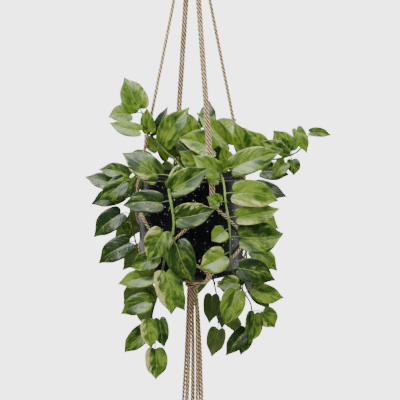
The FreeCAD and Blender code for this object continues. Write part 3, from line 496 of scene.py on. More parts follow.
linerLook = {
    "mottle": {"Size": 90.0, "Fine": 12.0, "Low": 0.3, "High": 0.7},
    "colours": ((0.012, 0.012, 0.013), (0.028, 0.028, 0.03)),
    "roughness": (0.2, 0.38),
    "bump": (0.3, 0.0003),
    "metallic": 0.0,
}
brassLook = {
    "mottle": {"Size": 60.0, "Fine": 9.0, "Low": 0.3, "High": 0.7},
    "colours": ((0.48, 0.33, 0.13), (0.72, 0.54, 0.26)),
    "roughness": (0.25, 0.2),
    "bump": (0.1, 0.0003),
    "metallic": 1.0,
}


def makeGrained(name, look):
    # two colours in patches, and a grain that the roughness and the surface both follow
    material, nodes, principled, grain = mottledMaterial(name, look)
    nodes.fill(principled, {
        "Base Color": nodes.mix(grain["Patches"], *look["colours"]),
        "Roughness": nodes.math("MULTIPLY_ADD", grain["Grain"], *look["roughness"]),
        "Metallic": look["metallic"],
        "Normal": nodes.bump(grain["Grain"], *look["bump"]),
    })
    return material


soilLook = {
    "mottle": {"Size": 160.0, "Fine": 5.0, "Low": 0.3, "High": 0.68},
    "colours": ((0.012, 0.008, 0.005), (0.085, 0.05, 0.028)),
    "chip": (0.68, 0.66, 0.6),
    "roughness": 0.95,
    "bump": (1.0, 0.0015),
}


def makeSoil():
    look = soilLook
    material, nodes, principled, crumbs = mottledMaterial("pottingSoil", look)
    tone = nodes.mix(crumbs["Patches"], *look["colours"])
    nodes.fill(principled, {
        "Base Color": nodes.mix(nodes.attribute("chip"), tone, look["chip"]),
        "Roughness": look["roughness"],
        "Normal": nodes.bump(crumbs["Grain"], *look["bump"]),
    })
    return material


stemLook = {
    "mottle": {"Size": 70.0, "Fine": 6.0, "Low": 0.35, "High": 0.65},
    "paleGreens": ((0.13, 0.25, 0.035), (0.30, 0.42, 0.10)),
    "darkGreens": ((0.018, 0.026, 0.010), (0.05, 0.075, 0.018)),
    "roughness": 0.45,
    "bump": (0.3, 0.0004),
}


# paler green where the stem's own darkness attribute is low, dark brown-green where it is high
def makeStem():
    # green where young, dark brown-green where old, by the stem's own "age" attribute
    look = stemLook
    material, nodes, principled, patches = mottledMaterial("vineStem", look)
    paleGreens = nodes.mix(patches["Patches"], *look["paleGreens"])
    darkGreens = nodes.mix(patches["Patches"], *look["darkGreens"])
    nodes.fill(principled, {
        "Base Color": nodes.mix(nodes.attribute("stemDarkness"), paleGreens, darkGreens),
        "Roughness": look["roughness"],
        "Normal": nodes.bump(patches["Grain"], *look["bump"]),
    })
    return material


leafLook = {
    "deep": (0.008, 0.034, 0.0015),
    "green": (0.050, 0.135, 0.005),
    "lime": (0.20, 0.30, 0.022),
    "fleck": (0.48, 0.49, 0.11),
    "cream": (0.57, 0.53, 0.19),
    "vein": (0.24, 0.34, 0.05),
    "under": (0.062, 0.115, 0.008),
    "greenRange": (0.42, 0.86),
    "limeRange": (0.5, 0.78),
    "fleckRange": (0.57, 0.67),
    "fleckPatches": (0.45, 0.6),     # flecks show only in these parts of the broad patches
    "shares": {"lime": 0.8, "fleck": 0.6, "cream": 0.72, "midrib": 0.7, "edge": 0.25, "under": 0.72},
    "topGloss": {"Coat Weight": 0.2, "Coat Roughness": 0.3},
    "topRoughness": (0.16, 0.3),
    "underRoughness": 0.62,
    "flesh": {"Subsurface Weight": 0.08, "Subsurface Radius": (0.3, 0.8, 0.1), "Subsurface Scale": 0.002},
    "veinHeight": 0.35,
    "bump": (0.35, 0.0005),
}


def makeLeaf(name, underside):
    # layers from the bottom up: deep green to green, lime streaks, flecks, cream, midrib and edge
    look, shares = leafLook, leafLook["shares"]
    material, nodes, principled = newMaterial(name)
    tone = nodes.attribute("tone")
    marks = nodes.group(leafPattern, Uv=nodes.uvPlace(), Seed=nodes.attribute("seed"),
                        Cream=nodes.attribute("cream"))

    def layer(base, mask, share, colour):
        return nodes.mix(nodes.math("MULTIPLY", mask, share), base, colour)

    depth = nodes.math("MULTIPLY_ADD", tone, 0.5, nodes.math("MULTIPLY", marks["Broad"], 0.8))
    lively = nodes.math("MULTIPLY_ADD", marks["Streaks"], 0.5, nodes.math("MULTIPLY", marks["Broad"], 0.5))
    lively = nodes.math("MULTIPLY_ADD", tone, 0.2, lively)
    fleck = nodes.math("MULTIPLY", nodes.spread(marks["Flecks"], *look["fleckRange"]),
                       nodes.spread(marks["Broad"], *look["fleckPatches"]))
    base = nodes.mix(nodes.spread(depth, *look["greenRange"]), look["deep"], look["green"])
    base = layer(base, nodes.spread(lively, *look["limeRange"]), shares["lime"], look["lime"])
    base = layer(base, fleck, shares["fleck"], look["fleck"])
    base = layer(base, marks["CreamMask"], shares["cream"], look["cream"])
    base = layer(base, marks["Midrib"], shares["midrib"], look["vein"])
    base = layer(base, marks["Edge"], shares["edge"], look["vein"])
    if underside:
        base = nodes.mix(shares["under"], base, look["under"])
        nodes.fill(principled, {"Roughness": look["underRoughness"]})
    else:
        rough = nodes.math("MULTIPLY_ADD", marks["Flecks"], *look["topRoughness"])
        nodes.fill(principled, {"Roughness": rough, **look["topGloss"]})
    height = nodes.math("MULTIPLY_ADD", marks["Veins"], look["veinHeight"], marks["Streaks"])
    nodes.fill(principled, {"Base Color": base, "Normal": nodes.bump(height, *look["bump"]), **look["flesh"]})
    return material


jute = makeJute()
glaze = makeGlaze()
linerPlastic = makeGrained("mouldedLiner", linerLook)
pottingSoil = makeSoil()
brass = makeGrained("brushedBrass", brassLook)
stemSkin = makeStem()
leafTop = makeLeaf("leafUpper", False)
leafUnder = makeLeaf("leafUnderside", True)
print("materials made")

rope = {
    "strandRadius": 0.0013,
    "strandOffset": 0.00143,   # from the cord's centre to each strand's centre
    "creaseFloor": 0.00206,    # the strands press together, so the creases are no deeper than this
    "pitch": 0.0235,           # one full turn of the strands
    "step": 0.00125,
    "columns": 24,
    "hairEvery": 0.0016,
    "hairLength": (0.0009, 0.0024),
    "hairRadius": 0.00006,
    "uvLength": 0.01,          # cord to one unit of its UV
    "flareLength": 0.012,
    "unevenness": (0.025, 0.02),    # slow and quick waves of its thickness
    "lump": 0.00005,
}


def twistedCord(builder, line, seed, flare=0.0, evenDarkening=0.0, phase=None):
    # three round strands about a centre: at each angle the outline is the furthest point of the
    # nearest strand's circle, turned steadily along the cord; a flared end opens the strands out;
    # two cords with the same phase nest, the strands of one in the creases of the other
    rng = np.random.default_rng(seed)
    walked = lengthsAlong(line)
    columns = rope["columns"]
    angle = np.linspace(0, 2 * math.pi, columns, endpoint=False)
    fromLobe = (angle + math.pi / 3) % (2 * math.pi / 3) - math.pi / 3
    offset, radius = rope["strandOffset"], rope["strandRadius"]
    besides = np.maximum(radius ** 2 - (offset * np.sin(fromLobe)) ** 2, 0)
    outline = offset * np.cos(fromLobe) + np.sqrt(besides)
    outline = np.maximum(outline, rope["creaseFloor"])
    # the crease value is painted shade: 0 on a strand's crown, 1 deep in the crease between strands
    crease = 1 - (outline - outline.min()) / (outline.max() - outline.min())
    waves = rng.uniform(0, 2 * math.pi, 3)
    slow, quick = rope["unevenness"]
    uneven = 1 + slow * np.sin(walked / 0.013 + waves[0]) + quick * np.sin(walked / 0.0047 + waves[1])
    lump = rope["lump"] * np.sin(walked[:, None] / 0.0016 + 3 * angle[None, :] + waves[2])
    toEnd = np.clip((walked - walked[-1]) / rope["flareLength"] + 1, 0, 1)
    opened = 1 + flare * toEnd[:, None] ** 1.5
    radii = (outline[None, :] * uneven[:, None] + lump) * opened
    turn = -2 * math.pi * walked / rope["pitch"] + (waves[0] if phase is None else phase)
    points, quads, caps = carryProfile(line, radii, turn)
    along = walked / rope["uvLength"]
    uv = np.vstack([gridUv(angle / (2 * math.pi), along), [[0, 0], [0, along[-1]]]])
    shade = np.concatenate([np.broadcast_to(crease[None, :], radii.shape).ravel(), [0.3, 0.3]])
    # an even darkening can be added over the whole cord, on top of the painted crease shade
    builder.add(points, quads, caps, uv, crease=np.minimum(shade + evenDarkening, 1))
    addHairs(builder, line, rng, int(walked[-1] / rope["hairEvery"]))


def addHairs(builder, line, rng, count):
    # loose fibres: thin three-sided spikes rooted in the cord, leaning along it
    tangent, side, other = framesAlong(line)
    at = rng.integers(1, len(line) - 1, count)
    angle = rng.uniform(0, 2 * math.pi, count)[:, None]
    out = np.cos(angle) * side[at] + np.sin(angle) * other[at]
    lean = rng.uniform(-1.6, 1.6, count)[:, None]
    direction = unit(out + lean * tangent[at] + 0.4 * rng.normal(size=(count, 3)))
    root = line[at] + out * rope["strandOffset"] * 1.3
    reach = rng.uniform(*rope["hairLength"], count)[:, None]
    first = unit(np.cross(direction, tangent[at] + 0.01))
    second = np.cross(direction, first)
    ring = [root + rope["hairRadius"] * (math.cos(a) * first + math.sin(a) * second)
            for a in (0, 2 * math.pi / 3, 4 * math.pi / 3)]
    points = np.stack(ring + [root + direction * reach], axis=1).reshape(-1, 3)
    start = np.arange(count)[:, None] * 4
    sides = ((0, 1, 3), (1, 2, 3), (2, 0, 3), (0, 2, 1))
    faces = np.concatenate([start + np.array(side)[None, :] for side in sides])
    builder.add(points, None, [faces], None, crease=0.0)


def wallRadius(z):
    # outer radius of the pot: the barrel's circle above, the lower corner's circle below
    height = z - potBase
    centre = potShape["bellyRadius"] - potShape["barrelCurve"]
    barrel = centre + math.sqrt(potShape["barrelCurve"] ** 2 - (height - potShape["bellyHeight"]) ** 2)
    cornerR, cornerH = cornerCentre()
    below = cornerH - height
    if below < 0 or below > potShape["cornerCurve"]:
        return max(barrel, hanger["rimRadius"])
    return min(barrel, cornerR + math.sqrt(potShape["cornerCurve"] ** 2 - below ** 2))


def cornerCentre():
    # the corner's circle touches the barrel's from inside and just cuts the base
    reach = potShape["barrelCurve"] - potShape["cornerCurve"]
    height = potShape["cornerCurve"] - 0.0008
    drop = potShape["bellyHeight"] - height
    return potShape["bellyRadius"] - potShape["barrelCurve"] + math.sqrt(reach ** 2 - drop ** 2), height


def knotRadiusAt(z):
    return wallRadius(z) + hanger["wallGap"] + hanger["knotRadius"]


def takePlace(piece, node, body="hanger"):
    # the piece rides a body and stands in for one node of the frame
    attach(piece, body)
    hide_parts(node)


def finishCord(builder, name, line, node, blend=None, **declared):
    piece = builder.make(name, [jute])
    if blend:
        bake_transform(piece)
    else:
        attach(piece, "hanger")
    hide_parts(node)


armForm = {
    "length": 0.5,             # the arm's length
    "tuckUp": 0.009,           # how far below the wrap
    "tuckIn": 0.0004,          # and how much nearer to the axis it starts
    "straight": 6,             # cord diameters above the rim where it starts to bend over it
    "bendDrop": 0.014,         # below the wrap, where the arm turns from the crown to the hanger
}


def makeArms():
    bundle = hanger["bundleRadius"]
    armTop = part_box("arm_front_a")[1].z
    atRim = hanger["rimRadius"] + cordRadius + hanger["rimGap"]
    bend = ("crown", "hanger", (0, 0, wrapBottom), (0, 0, wrapBottom - armForm["bendDrop"]))
    seed = 1
    for side, angle in hanger["armAngles"].items():
        for letter, way in (("a", -1), ("b", 1)):
            sideways = way * halfPair
            start = np.array(polar(angle, bundle, armTop, sideways))
            rim = np.array(polar(angle, atRim, rimZ, sideways))
            knotTop = rimKnotZ + hanger["knotShare"]
            tuckZ = wrapBottom + armForm["tuckUp"]
            route = [polar(angle, bundle - armForm["tuckIn"], tuckZ, sideways), start,
                     rim + unit(start - rim) * armForm["straight"] * hanger["cord"], rim,
                     polar(angle, knotRadiusAt(rimKnotZ), knotTop, sideways)]
            line = splineThrough(np.array(route), rope["step"])
            builder = Builder()
            twistedCord(builder, line, seed, phase=math.radians(angle))
            seed += 1
            finishCord(builder, f"armCord_{side}_{letter}", line, f"arm_{side}_{letter}", bend,
                       exit=polar(angle, bundle, wrapBottom, sideways), length=armForm["length"],
                       far_end="object", lay="taut")


netForm = {
    "length": 0.29,
    "gap": 0.0006,             # further from the pot than the wall's own gap
    "slack": 0.002,            # how far the cords stand off between knots
    "upperShares": (0.3, 0.68),    # points of the route from the rim knot to the side knot
    "lowerShares": (0.34, 0.68),   # and on from there to the base knot
    "crossing": 1.35,          # where two cords cross in a side knot, in half spacings
    "baseSlack": 0.0022,
    "cornerGap": 0.0004,
    "cornerStretch": 1.03,     # keeps the line clear of the corner between its points
    "cornerAngles": (52.0, 78.0),  # degrees below level round the pot's lower corner
    "leadOut": 0.028,          # where the cord turns down into the gathering knot
    "leadUp": 0.0075,
    "endUp": 0.002,
}


def netRoute(armAngle, sideAngle, baseAngle, way):
    form = netForm
    hug = cordRadius + hanger["wallGap"] + form["gap"]
    cornerR, cornerH = cornerCentre()
    cornerGap = cordRadius + hanger["wallGap"] + form["cornerGap"]
    cornerReach = (potShape["cornerCurve"] + cornerGap) * form["cornerStretch"]
    route = [polar(armAngle, knotRadiusAt(rimKnotZ), rimKnotZ - hanger["knotShare"], way * halfPair)]

    def alongWall(shares, fromAngle, toAngle, fromZ, toZ):
        for share in shares:
            z = fromZ + share * (toZ - fromZ)
            angle = fromAngle + share * (toAngle - fromAngle)
            route.append(polar(angle, wallRadius(z) + hug + form["slack"], z))

    alongWall(form["upperShares"], armAngle, sideAngle, rimKnotZ, sideKnotZ)
    route.append(polar(sideAngle, knotRadiusAt(sideKnotZ) + way * halfPair * form["crossing"], sideKnotZ))
    alongWall(form["lowerShares"], sideAngle, baseAngle, sideKnotZ, baseKnotZ)
    arrive = -way * halfPair
    route.append(polar(baseAngle, wallRadius(baseKnotZ) + hug + form["baseSlack"], baseKnotZ, arrive))
    for below in form["cornerAngles"]:
        turn = math.radians(below)
        route.append(polar(baseAngle, cornerR + cornerReach * math.cos(turn),
                           potBase + cornerH - cornerReach * math.sin(turn), arrive))
    bundle = hanger["bundleRadius"]
    route.append(polar(baseAngle, bundle + form["leadOut"], gatherZ + form["leadUp"], arrive))
    route.append(polar(baseAngle, bundle, gatherZ + form["endUp"], arrive))
    return np.array(route)


def nearAngle(angle, near):
    return near + (angle - near + 180) % 360 - 180


def makeNet():
    sides = list(hanger["armAngles"])
    corners = list(hanger["sideKnotAngles"].values())
    seed = 21
    for i, side in enumerate(sides):
        following = sides[(i + 1) % 4]
        pair = ((f"{side}_b", side, following, 1), (f"{following}_a", following, side, -1))
        for name, fromSide, toSide, way in pair:
            start = hanger["armAngles"][fromSide]
            knot = nearAngle(corners[i], start)
            end = nearAngle(hanger["baseKnotAngles"][toSide], knot)
            route = netRoute(start, knot, end, way)
            line = splineThrough(route, rope["step"])
            builder = Builder()
            twistedCord(builder, line, seed)
            seed += 1
            finishCord(builder, f"netCord_{name}", line, f"net_{name}", exit=route[0].tolist(),
                       length=netForm["length"], far_end="object", lay="taut")


knotForm = {
    "size": 0.00172,
    "squash": 0.92,            # height against width
    "depth": 0.0024,           # how far the line weaves in and out
    "gap": 0.0004,
    "points": 240,
    "firstSeed": 50,
}


def makeKnots():
    # an overhand knot's line is a trefoil: two circles of different speed added in the wall's
    # plane, with a third wave in and out of it; each knot lies flat against the pot
    builder = Builder()
    t = np.linspace(0, 2 * math.pi, knotForm["points"])
    up = np.array([0, 0, 1.0])
    size = knotForm["size"]
    seed = knotForm["firstSeed"]
    tiers = (("armAngles", rimKnotZ, 0.5), ("sideKnotAngles", sideKnotZ, 0.0),
             ("baseKnotAngles", baseKnotZ, 1.0))
    for tier, z, roll in tiers:
        for angle in hanger[tier].values():
            out = np.array(polar(angle, 1.0, 0))
            along = np.array(polar(angle, 0.0, 0, 1.0))
            u = np.sin(t + roll) + 2 * np.sin(2 * t + roll)
            v = np.cos(t + roll) - 2 * np.cos(2 * t + roll)
            lift = -np.sin(3 * t)
            centre = np.array(polar(angle, knotRadiusAt(z) + knotForm["gap"], z))
            line = (centre + (u * size)[:, None] * along + (v * size * knotForm["squash"])[:, None] * up
                    + (lift * knotForm["depth"])[:, None] * out)
            twistedCord(builder, evenly(line, rope["step"]), seed)
            seed += 1
    takePlace(builder.make("netKnots", [jute]), "net_knots")


def coilLine(radius, low, high, turns, startAngle):
    # a helix whose first and last rounds lie flat: the height follows the angle between them
    share = np.linspace(0, 1, int(turns * 48))
    angle = startAngle + share * turns * 2 * math.pi
    down = np.clip((share * turns - 0.85) / (turns - 1.7), 0, 1)
    return np.stack([radius * np.cos(angle), radius * np.sin(angle), high + (low - high) * down], axis=1)


def addCore(builder, high, low, profile, ripple, uvLength, crease):
    # what fills a coil: a radius at each height down the axis, rippled eight times round; its crease value
    # darkens it evenly, painted shade where it lies behind the turns
    share = np.linspace(0, 1, len(profile))
    around = np.linspace(0, 2 * math.pi, 40, endpoint=False)
    line = np.stack([0 * share, 0 * share, high + (low - high) * share], axis=1)
    radii = profile[:, None] * (1 + ripple * np.sin(8 * around)[None, :])
    points, quads, caps = carryProfile(line, radii, 0 * share)
    uv = np.vstack([gridUv(around / math.pi, uvLength * share), [[0, 0], [0, 1]]])
    builder.add(points, quads, caps, uv, crease=crease)


gather = {
    "radius": 0.0114,
    "halfCoil": (0.0056, 0.0058),      # the coil's highest and lowest line, from the knot's middle
    "turns": 2.6,
    "startAngle": 0.4,
    "sway": 0.0012,
    "tucks": ((81, -2.3, 1), (82, 0.7, -1)),    # seed, start angle and which way it slopes
    "tuckTurn": 1.9,
    "tuckBulge": 0.0032,
    "tuckHeight": 0.0065,
    "coreRadius": 0.0100,
    "coreHeight": 0.0078,
}


def makeGather():
    # the gathering knot: tight turns round the eight cords, with two strands tucked across; its
    # core's outline is a sine raised to a power, so it is full in the middle and rounds off
    builder = Builder()
    radius = gather["radius"]
    above, below = gather["halfCoil"]
    turns = coilLine(radius, gatherZ - below, gatherZ + above, gather["turns"], gather["startAngle"])
    turns[:, 2] += gather["sway"] * np.sin(np.linspace(0, 5 * math.pi, len(turns)))
    # the gathering knot's cords and tucks are made darker all over
    twistedCord(builder, evenly(turns, rope["step"]), 80, evenDarkening=0.22)
    for seed, start, tilt in gather["tucks"]:
        share = np.linspace(0, 1, 40)
        angle = start + share * gather["tuckTurn"]
        bulge = radius + gather["tuckBulge"] * np.sin(share * math.pi)
        height = gatherZ + tilt * gather["tuckHeight"] * (1 - 2 * share)
        line = np.stack([bulge * np.cos(angle), bulge * np.sin(angle), height], axis=1)
        twistedCord(builder, evenly(line, rope["step"]), seed, evenDarkening=0.16)
    profile = gather["coreRadius"] * np.sin(np.pi * (0.12 + 0.76 * np.linspace(0, 1, 14))) ** 0.35
    addCore(builder, gatherZ + gather["coreHeight"], gatherZ - gather["coreHeight"], profile, 0.05, 1, 0.55)
    takePlace(builder.make("gatherKnot", [jute]), "gathering_knot")


tassel = {
    "length": 0.24,
    "startAngles": [202.0, 247.0, 290.0, 333.0, 16.0, 62.0, 107.0, 154.0],
    # where each cord passes part of the way down, and where it ends, in cord diameters
    "ways": [((-1.91, -0.89), (-3.78, -1.11)), ((-0.84, -2.00), (-1.89, -2.89)),
             ((0.09, -0.76), (-0.22, -1.11)), ((1.64, -2.13), (1.67, -3.22)),
             ((2.71, -0.71), (3.89, -0.89)), ((2.13, 1.20), (2.78, 1.89)),
             ((0.36, 1.69), (0.44, 2.44)), ((-1.29, 1.07), (-2.44, 1.44))],
    "drops": (0.062, 0.145),   # how far down the two middle points of the route are
    "sway": (0.0008, -0.0006),
    "tuckUp": 0.004,           # how far each cord runs up inside the gathering knot
    "tuckIn": 0.95,
    "bend": (0.001, 0.006),    # how far up from the gathering knot's foot, and down from the tassel's top
    "flare": 0.35,             # how far the cut end opens
    "fray": 70,                # loose fibres at the cut end
}


def makeTassel():
    tasselTop = tasselHigh.z
    firstDrop, secondDrop = tassel["drops"]
    swayX, swayY = tassel["sway"]
    bendUp, bendDown = tassel["bend"]
    tuckZ = gatherLow.z + tassel["tuckUp"]
    bend = ("hanger", "tassel", (0, 0, gatherLow.z + bendUp), (0, 0, tasselTop - bendDown))
    for number, (startAngle, way) in enumerate(zip(tassel["startAngles"], tassel["ways"]), start=1):
        (midX, midY), (endX, endY) = np.array(way) * hanger["cord"]
        start = polar(startAngle, hanger["bundleRadius"], tasselTop)
        route = [[start[0] * tassel["tuckIn"], start[1] * tassel["tuckIn"], tuckZ], start,
                 [midX, midY, tasselTop - firstDrop],
                 [(midX + endX) / 2 + swayX, (midY + endY) / 2 + swayY, tasselTop - secondDrop],
                 [endX, endY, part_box(f"tassel_cord_{number}")[0].z]]
        line = splineThrough(np.array(route), rope["step"])
        builder = Builder()
        twistedCord(builder, line, 100 + number, flare=tassel["flare"], phase=0.0)
        addHairs(builder, line[-7:], np.random.default_rng(200 + number), tassel["fray"])
        finishCord(builder, f"tasselCord_{number}", line, f"tassel_cord_{number}", bend,
                   exit=[start[0], start[1], tuckZ], length=tassel["length"], far_end="bare", lay="hanging")


crown = {
    "ringHole": 0.05,          # inside the ring
    "ringGap": 0.0019,         # between the wire and the cords over it
    "footUp": 0.008,           # the loops end this far below the wrap's top
    "wrapTurns": 6.7,
    "wrapStart": -0.6,
    "tailTurn": 0.8,
    "tailIn": 0.0035,          # how far the wrap's tail is tucked in
    "coreRadius": 0.0108,
    "coreInset": 0.0006,
}


def makeRingLoops():
    # four cords folded over the ring: up, half round the ring's wire and down into the wrap
    wire = (ringHigh.z - ringLow.z - crown["ringHole"]) / 4
    lowerWire = ringLow.z + wire
    over = wire + crown["ringGap"] + cordRadius
    half = np.linspace(math.pi, 0, 40)
    down = np.linspace(0, wrapTop - lowerWire - crown["footUp"], 12)[1:, None]
    builder = Builder()
    for number, step in enumerate((-1.5, -0.5, 0.5, 1.5)):
        x = np.full(40, step * hanger["pairSpacing"])
        arc = np.stack([x, -over * np.cos(half - math.pi), lowerWire + over * np.sin(half)], axis=1)
        line = np.vstack([arc[0] + down[::-1] * [0, 0, 1], arc, arc[-1] + down * [0, 0, 1]])
        twistedCord(builder, evenly(line, rope["step"]), 120 + number)
    takePlace(builder.make("ringLoops", [jute]), "ring_loops", "crown")


def makeTopWrap():
    # a coil round the bundle, its tail tucked in at the top, over a core
    builder = Builder()
    outer = (wrapHigh.x - wrapLow.x) / 2 - cordRadius
    start = crown["wrapStart"]
    coil = coilLine(outer, wrapBottom + cordRadius, wrapTop - cordRadius, crown["wrapTurns"], start)
    twistedCord(builder, evenly(coil, rope["step"]), 130)
    tuck = np.linspace(0, 1, 24)
    inwards = outer - crown["tailIn"] * tuck
    angle = start - crown["tailTurn"] * tuck
    tail = np.stack([inwards * np.cos(angle), inwards * np.sin(angle),
                     wrapTop - cordRadius + crown["tailIn"] * tuck ** 2], axis=1)
    twistedCord(builder, evenly(tail, rope["step"]), 131)
    inset = crown["coreInset"]
    addCore(builder, wrapTop - inset, wrapBottom + inset, np.full(16, crown["coreRadius"]), 0.04, 3, 0.6)
    takePlace(builder.make("topWrap", [jute]), "top_wrap", "crown")


ringForm = {
    "around": 180,
    "section": 28,
    "beadHeight": 0.035,       # of the weld, as a share of the wire's radius
    "beadWidth": 0.045,        # in radians
}


def makeRing():
    # a round wire bent to a circle, with the low bead of its weld at the top
    wire = (ringHigh.y - ringLow.y) / 2
    centreZ = (ringHigh.z + ringLow.z) / 2
    radius = (ringHigh.x - ringLow.x) / 2 - wire
    around = np.linspace(0, 2 * math.pi, ringForm["around"], endpoint=False)[:, None]
    section = np.linspace(0, 2 * math.pi, ringForm["section"], endpoint=False)[None, :]
    weld = np.exp(-((around - math.pi / 2) / ringForm["beadWidth"]) ** 2)
    bead = wire * (1 + ringForm["beadHeight"] * weld)
    reach = radius + (bead * np.cos(section))
    points = np.stack([reach * np.cos(around), np.broadcast_to(bead * np.sin(section), reach.shape),
                       centreZ + reach * np.sin(around)], axis=-1).reshape(-1, 3)
    faces = gridFaces(*reach.shape, True, True)
    takePlace(makePiece("hangingRing", points, [faces], [brass]), "hanging_ring", "ring")


makeArms()
makeNet()
makeKnots()
makeGather()
makeTassel()
makeRingLoops()
makeTopWrap()
makeRing()
print("hanger made")


def arcPoints(centreX, centreY, radius, start, end, count):
    a = np.linspace(start, end, count)
    return np.stack([centreX + radius * np.cos(a), centreY + radius * np.sin(a)], axis=1)


def makePot():
    # the outline's radius and height spun about the axis, with a hand-thrown unevenness of a
    # fifth of a millimetre that goes round with the angle and the height
    shape = potShape
    cornerR, cornerH = cornerCentre()
    belly, drain, corner = shape["bellyHeight"], shape["drainRadius"], shape["cornerCurve"]
    barrel, rim, floor = shape["barrelCurve"], hanger["rimRadius"], shape["floor"]
    barrelX = shape["bellyRadius"] - barrel
    height = rimZ - potBase
    joinAngle = math.atan2(cornerH - belly, cornerR - barrelX)
    shoulder = belly + math.sqrt(barrel ** 2 - (rim - barrelX) ** 2)
    shoulderAngle = math.atan2(shoulder - belly, rim - barrelX)
    foot = cornerR + math.sqrt(corner ** 2 - cornerH ** 2)
    footAngle = math.atan2(-cornerH + 0.0012, foot - cornerR)
    half = shape["wall"] / 2
    inner = rim - shape["wall"]
    inside = shape["innerCorner"]
    outline = np.vstack([
        [[drain, 0.0]],
        np.linspace((drain + 0.001, 0.0), (foot - 0.004, 0.0), 6),
        [[foot - 0.0012, 0.0]],
        arcPoints(cornerR, cornerH, corner, footAngle, joinAngle, 20),
        arcPoints(barrelX, belly, barrel, joinAngle, shoulderAngle, 40)[1:],
        np.linspace((rim, shoulder), (rim, height - half), 9)[1:],
        arcPoints(rim - half, height - half, half, 0, math.pi, 12)[1:-1],
        np.linspace((inner, height - half), (inner, floor + inside), 10),
        arcPoints(inner - inside, floor + inside, inside, 0, -math.pi / 2, 10)[1:],
        np.linspace((inner - inside, floor), (drain, floor), 6)[1:],
    ])
    radius, level = outline[:, :1], outline[:, 1:]
    ridge = np.exp(-((level - shape["ridgeHeight"]) / shape["ridgeWidth"]) ** 2) * (radius > inner + half)
    radius = radius - shape["ridgeDepth"] * ridge
    angle = np.linspace(0, 2 * math.pi, shape["segments"], endpoint=False)[None, :]
    broad, fine = shape["throw"]
    throw = broad * np.sin(2 * angle + level * 60) + fine * np.sin(3 * angle - level * 130)
    reach = radius + throw * (radius > drain + 0.002)
    points = np.stack([reach * np.cos(angle), reach * np.sin(angle),
                       np.broadcast_to(potBase + level, reach.shape)], axis=-1).reshape(-1, 3)
    piece = makePiece("glazedPot", points, [gridFaces(*reach.shape, True, True)], [glaze])
    takePlace(piece, "pot")


soilForm = {
    "rows": 46,
    "columns": 120,
    "sideRows": 5,
    "taper": 0.018,            # the plug is this much narrower at its foot
    "settled": 0.0015,         # the surface below the box's top
    "grain": 0.0011,
    "wave": 0.0012,
    "edgeSink": 0.003,
    "chips": 260,
    "chipSize": (0.0008, 0.0021),
    "chipUneven": (0.6, 1.2),
    "chipSpread": 0.95,        # share of the radius they reach
    "chipDepth": 0.0006,
    "paleShare": 0.35,
}


def makeSoilBed():
    # a disc of crumbs on a plug: height over the disc is a sum of waves and random grains, with
    # a few pale chips scattered on it
    form = soilForm
    rng = np.random.default_rng(7)
    radius = (soilHigh.x - soilLow.x) / 2
    rows, columns = form["rows"], form["columns"]
    share = np.linspace(0, 1, rows)[:, None]
    angle = np.linspace(0, 2 * math.pi, columns, endpoint=False)[None, :]
    reach = radius * (0.004 + 0.996 * share)
    x, y = reach * np.cos(angle), reach * np.sin(angle)
    surface = soilHigh.z - form["settled"]
    grains = rng.uniform(-1, 1, (rows, columns)) * form["grain"] * np.minimum(1, 12 * share)
    waves = form["wave"] * np.sin(x * 130 + 1) * np.cos(y * 110) - form["edgeSink"] * share ** 6
    z = surface + grains + waves
    sideShare = np.linspace(0, 1, form["sideRows"] + 1)[1:, None]
    sideReach = radius - form["taper"] * sideShare
    sideZ = z[-1:] + (soilLow.z - z[-1:]) * sideShare
    allX = np.vstack([x, sideReach * np.cos(angle)])
    allY = np.vstack([y, sideReach * np.sin(angle)])
    points = np.stack([allX, allY, np.vstack([z, sideZ])], axis=-1).reshape(-1, 3)
    total = rows + form["sideRows"]
    fans = endFans(total, columns, len(points))
    points = np.vstack([points, [[0, 0, surface]], [[0, 0, soilLow.z]]])
    builder = Builder()
    # the rows run outwards and down, so every face is turned round to point out of the soil
    quads = gridFaces(total, columns, True)[:, ::-1]
    builder.add(points, quads, [fan[:, ::-1] for fan in fans], None, chip=0.0)
    count = form["chips"]
    spotRadius = radius * form["chipSpread"] * np.sqrt(rng.uniform(0, 1, count))
    spotAngle = rng.uniform(0, 2 * math.pi, count)
    centres = np.stack([spotRadius * np.cos(spotAngle), spotRadius * np.sin(spotAngle),
                        np.full(count, soilHigh.z - form["chipDepth"])], axis=1)
    # a chip is an eight-sided stone: six corners out along the axes, each at its own distance
    corners = np.array([[1, 0, 0], [-1, 0, 0], [0, 1, 0], [0, -1, 0], [0, 0, 1], [0, 0, -1.0]])
    sizes = rng.uniform(*form["chipSize"], (count, 1, 1)) * rng.uniform(*form["chipUneven"], (count, 6, 1))
    chips = centres[:, None, :] + corners[None] * sizes
    sides = np.array([[0, 2, 4], [2, 1, 4], [1, 3, 4], [3, 0, 4], [2, 0, 5], [1, 2, 5], [3, 1, 5], [0, 3, 5]])
    chipFaces = (np.arange(count)[:, None, None] * 6 + sides[None]).reshape(-1, 3)
    pale = np.repeat((rng.uniform(0, 1, count) < form["paleShare"]).astype(float), 6)
    builder.add(chips.reshape(-1, 3), None, [chipFaces], None, chip=pale)
    takePlace(builder.make("soilBed", [pottingSoil]), "soil")


def dressLiner():
    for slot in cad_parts["nursery_pot"].material_slots:
        slot.material = linerPlastic


makePot()
makeSoilBed()
dressLiner()
print("pot made")


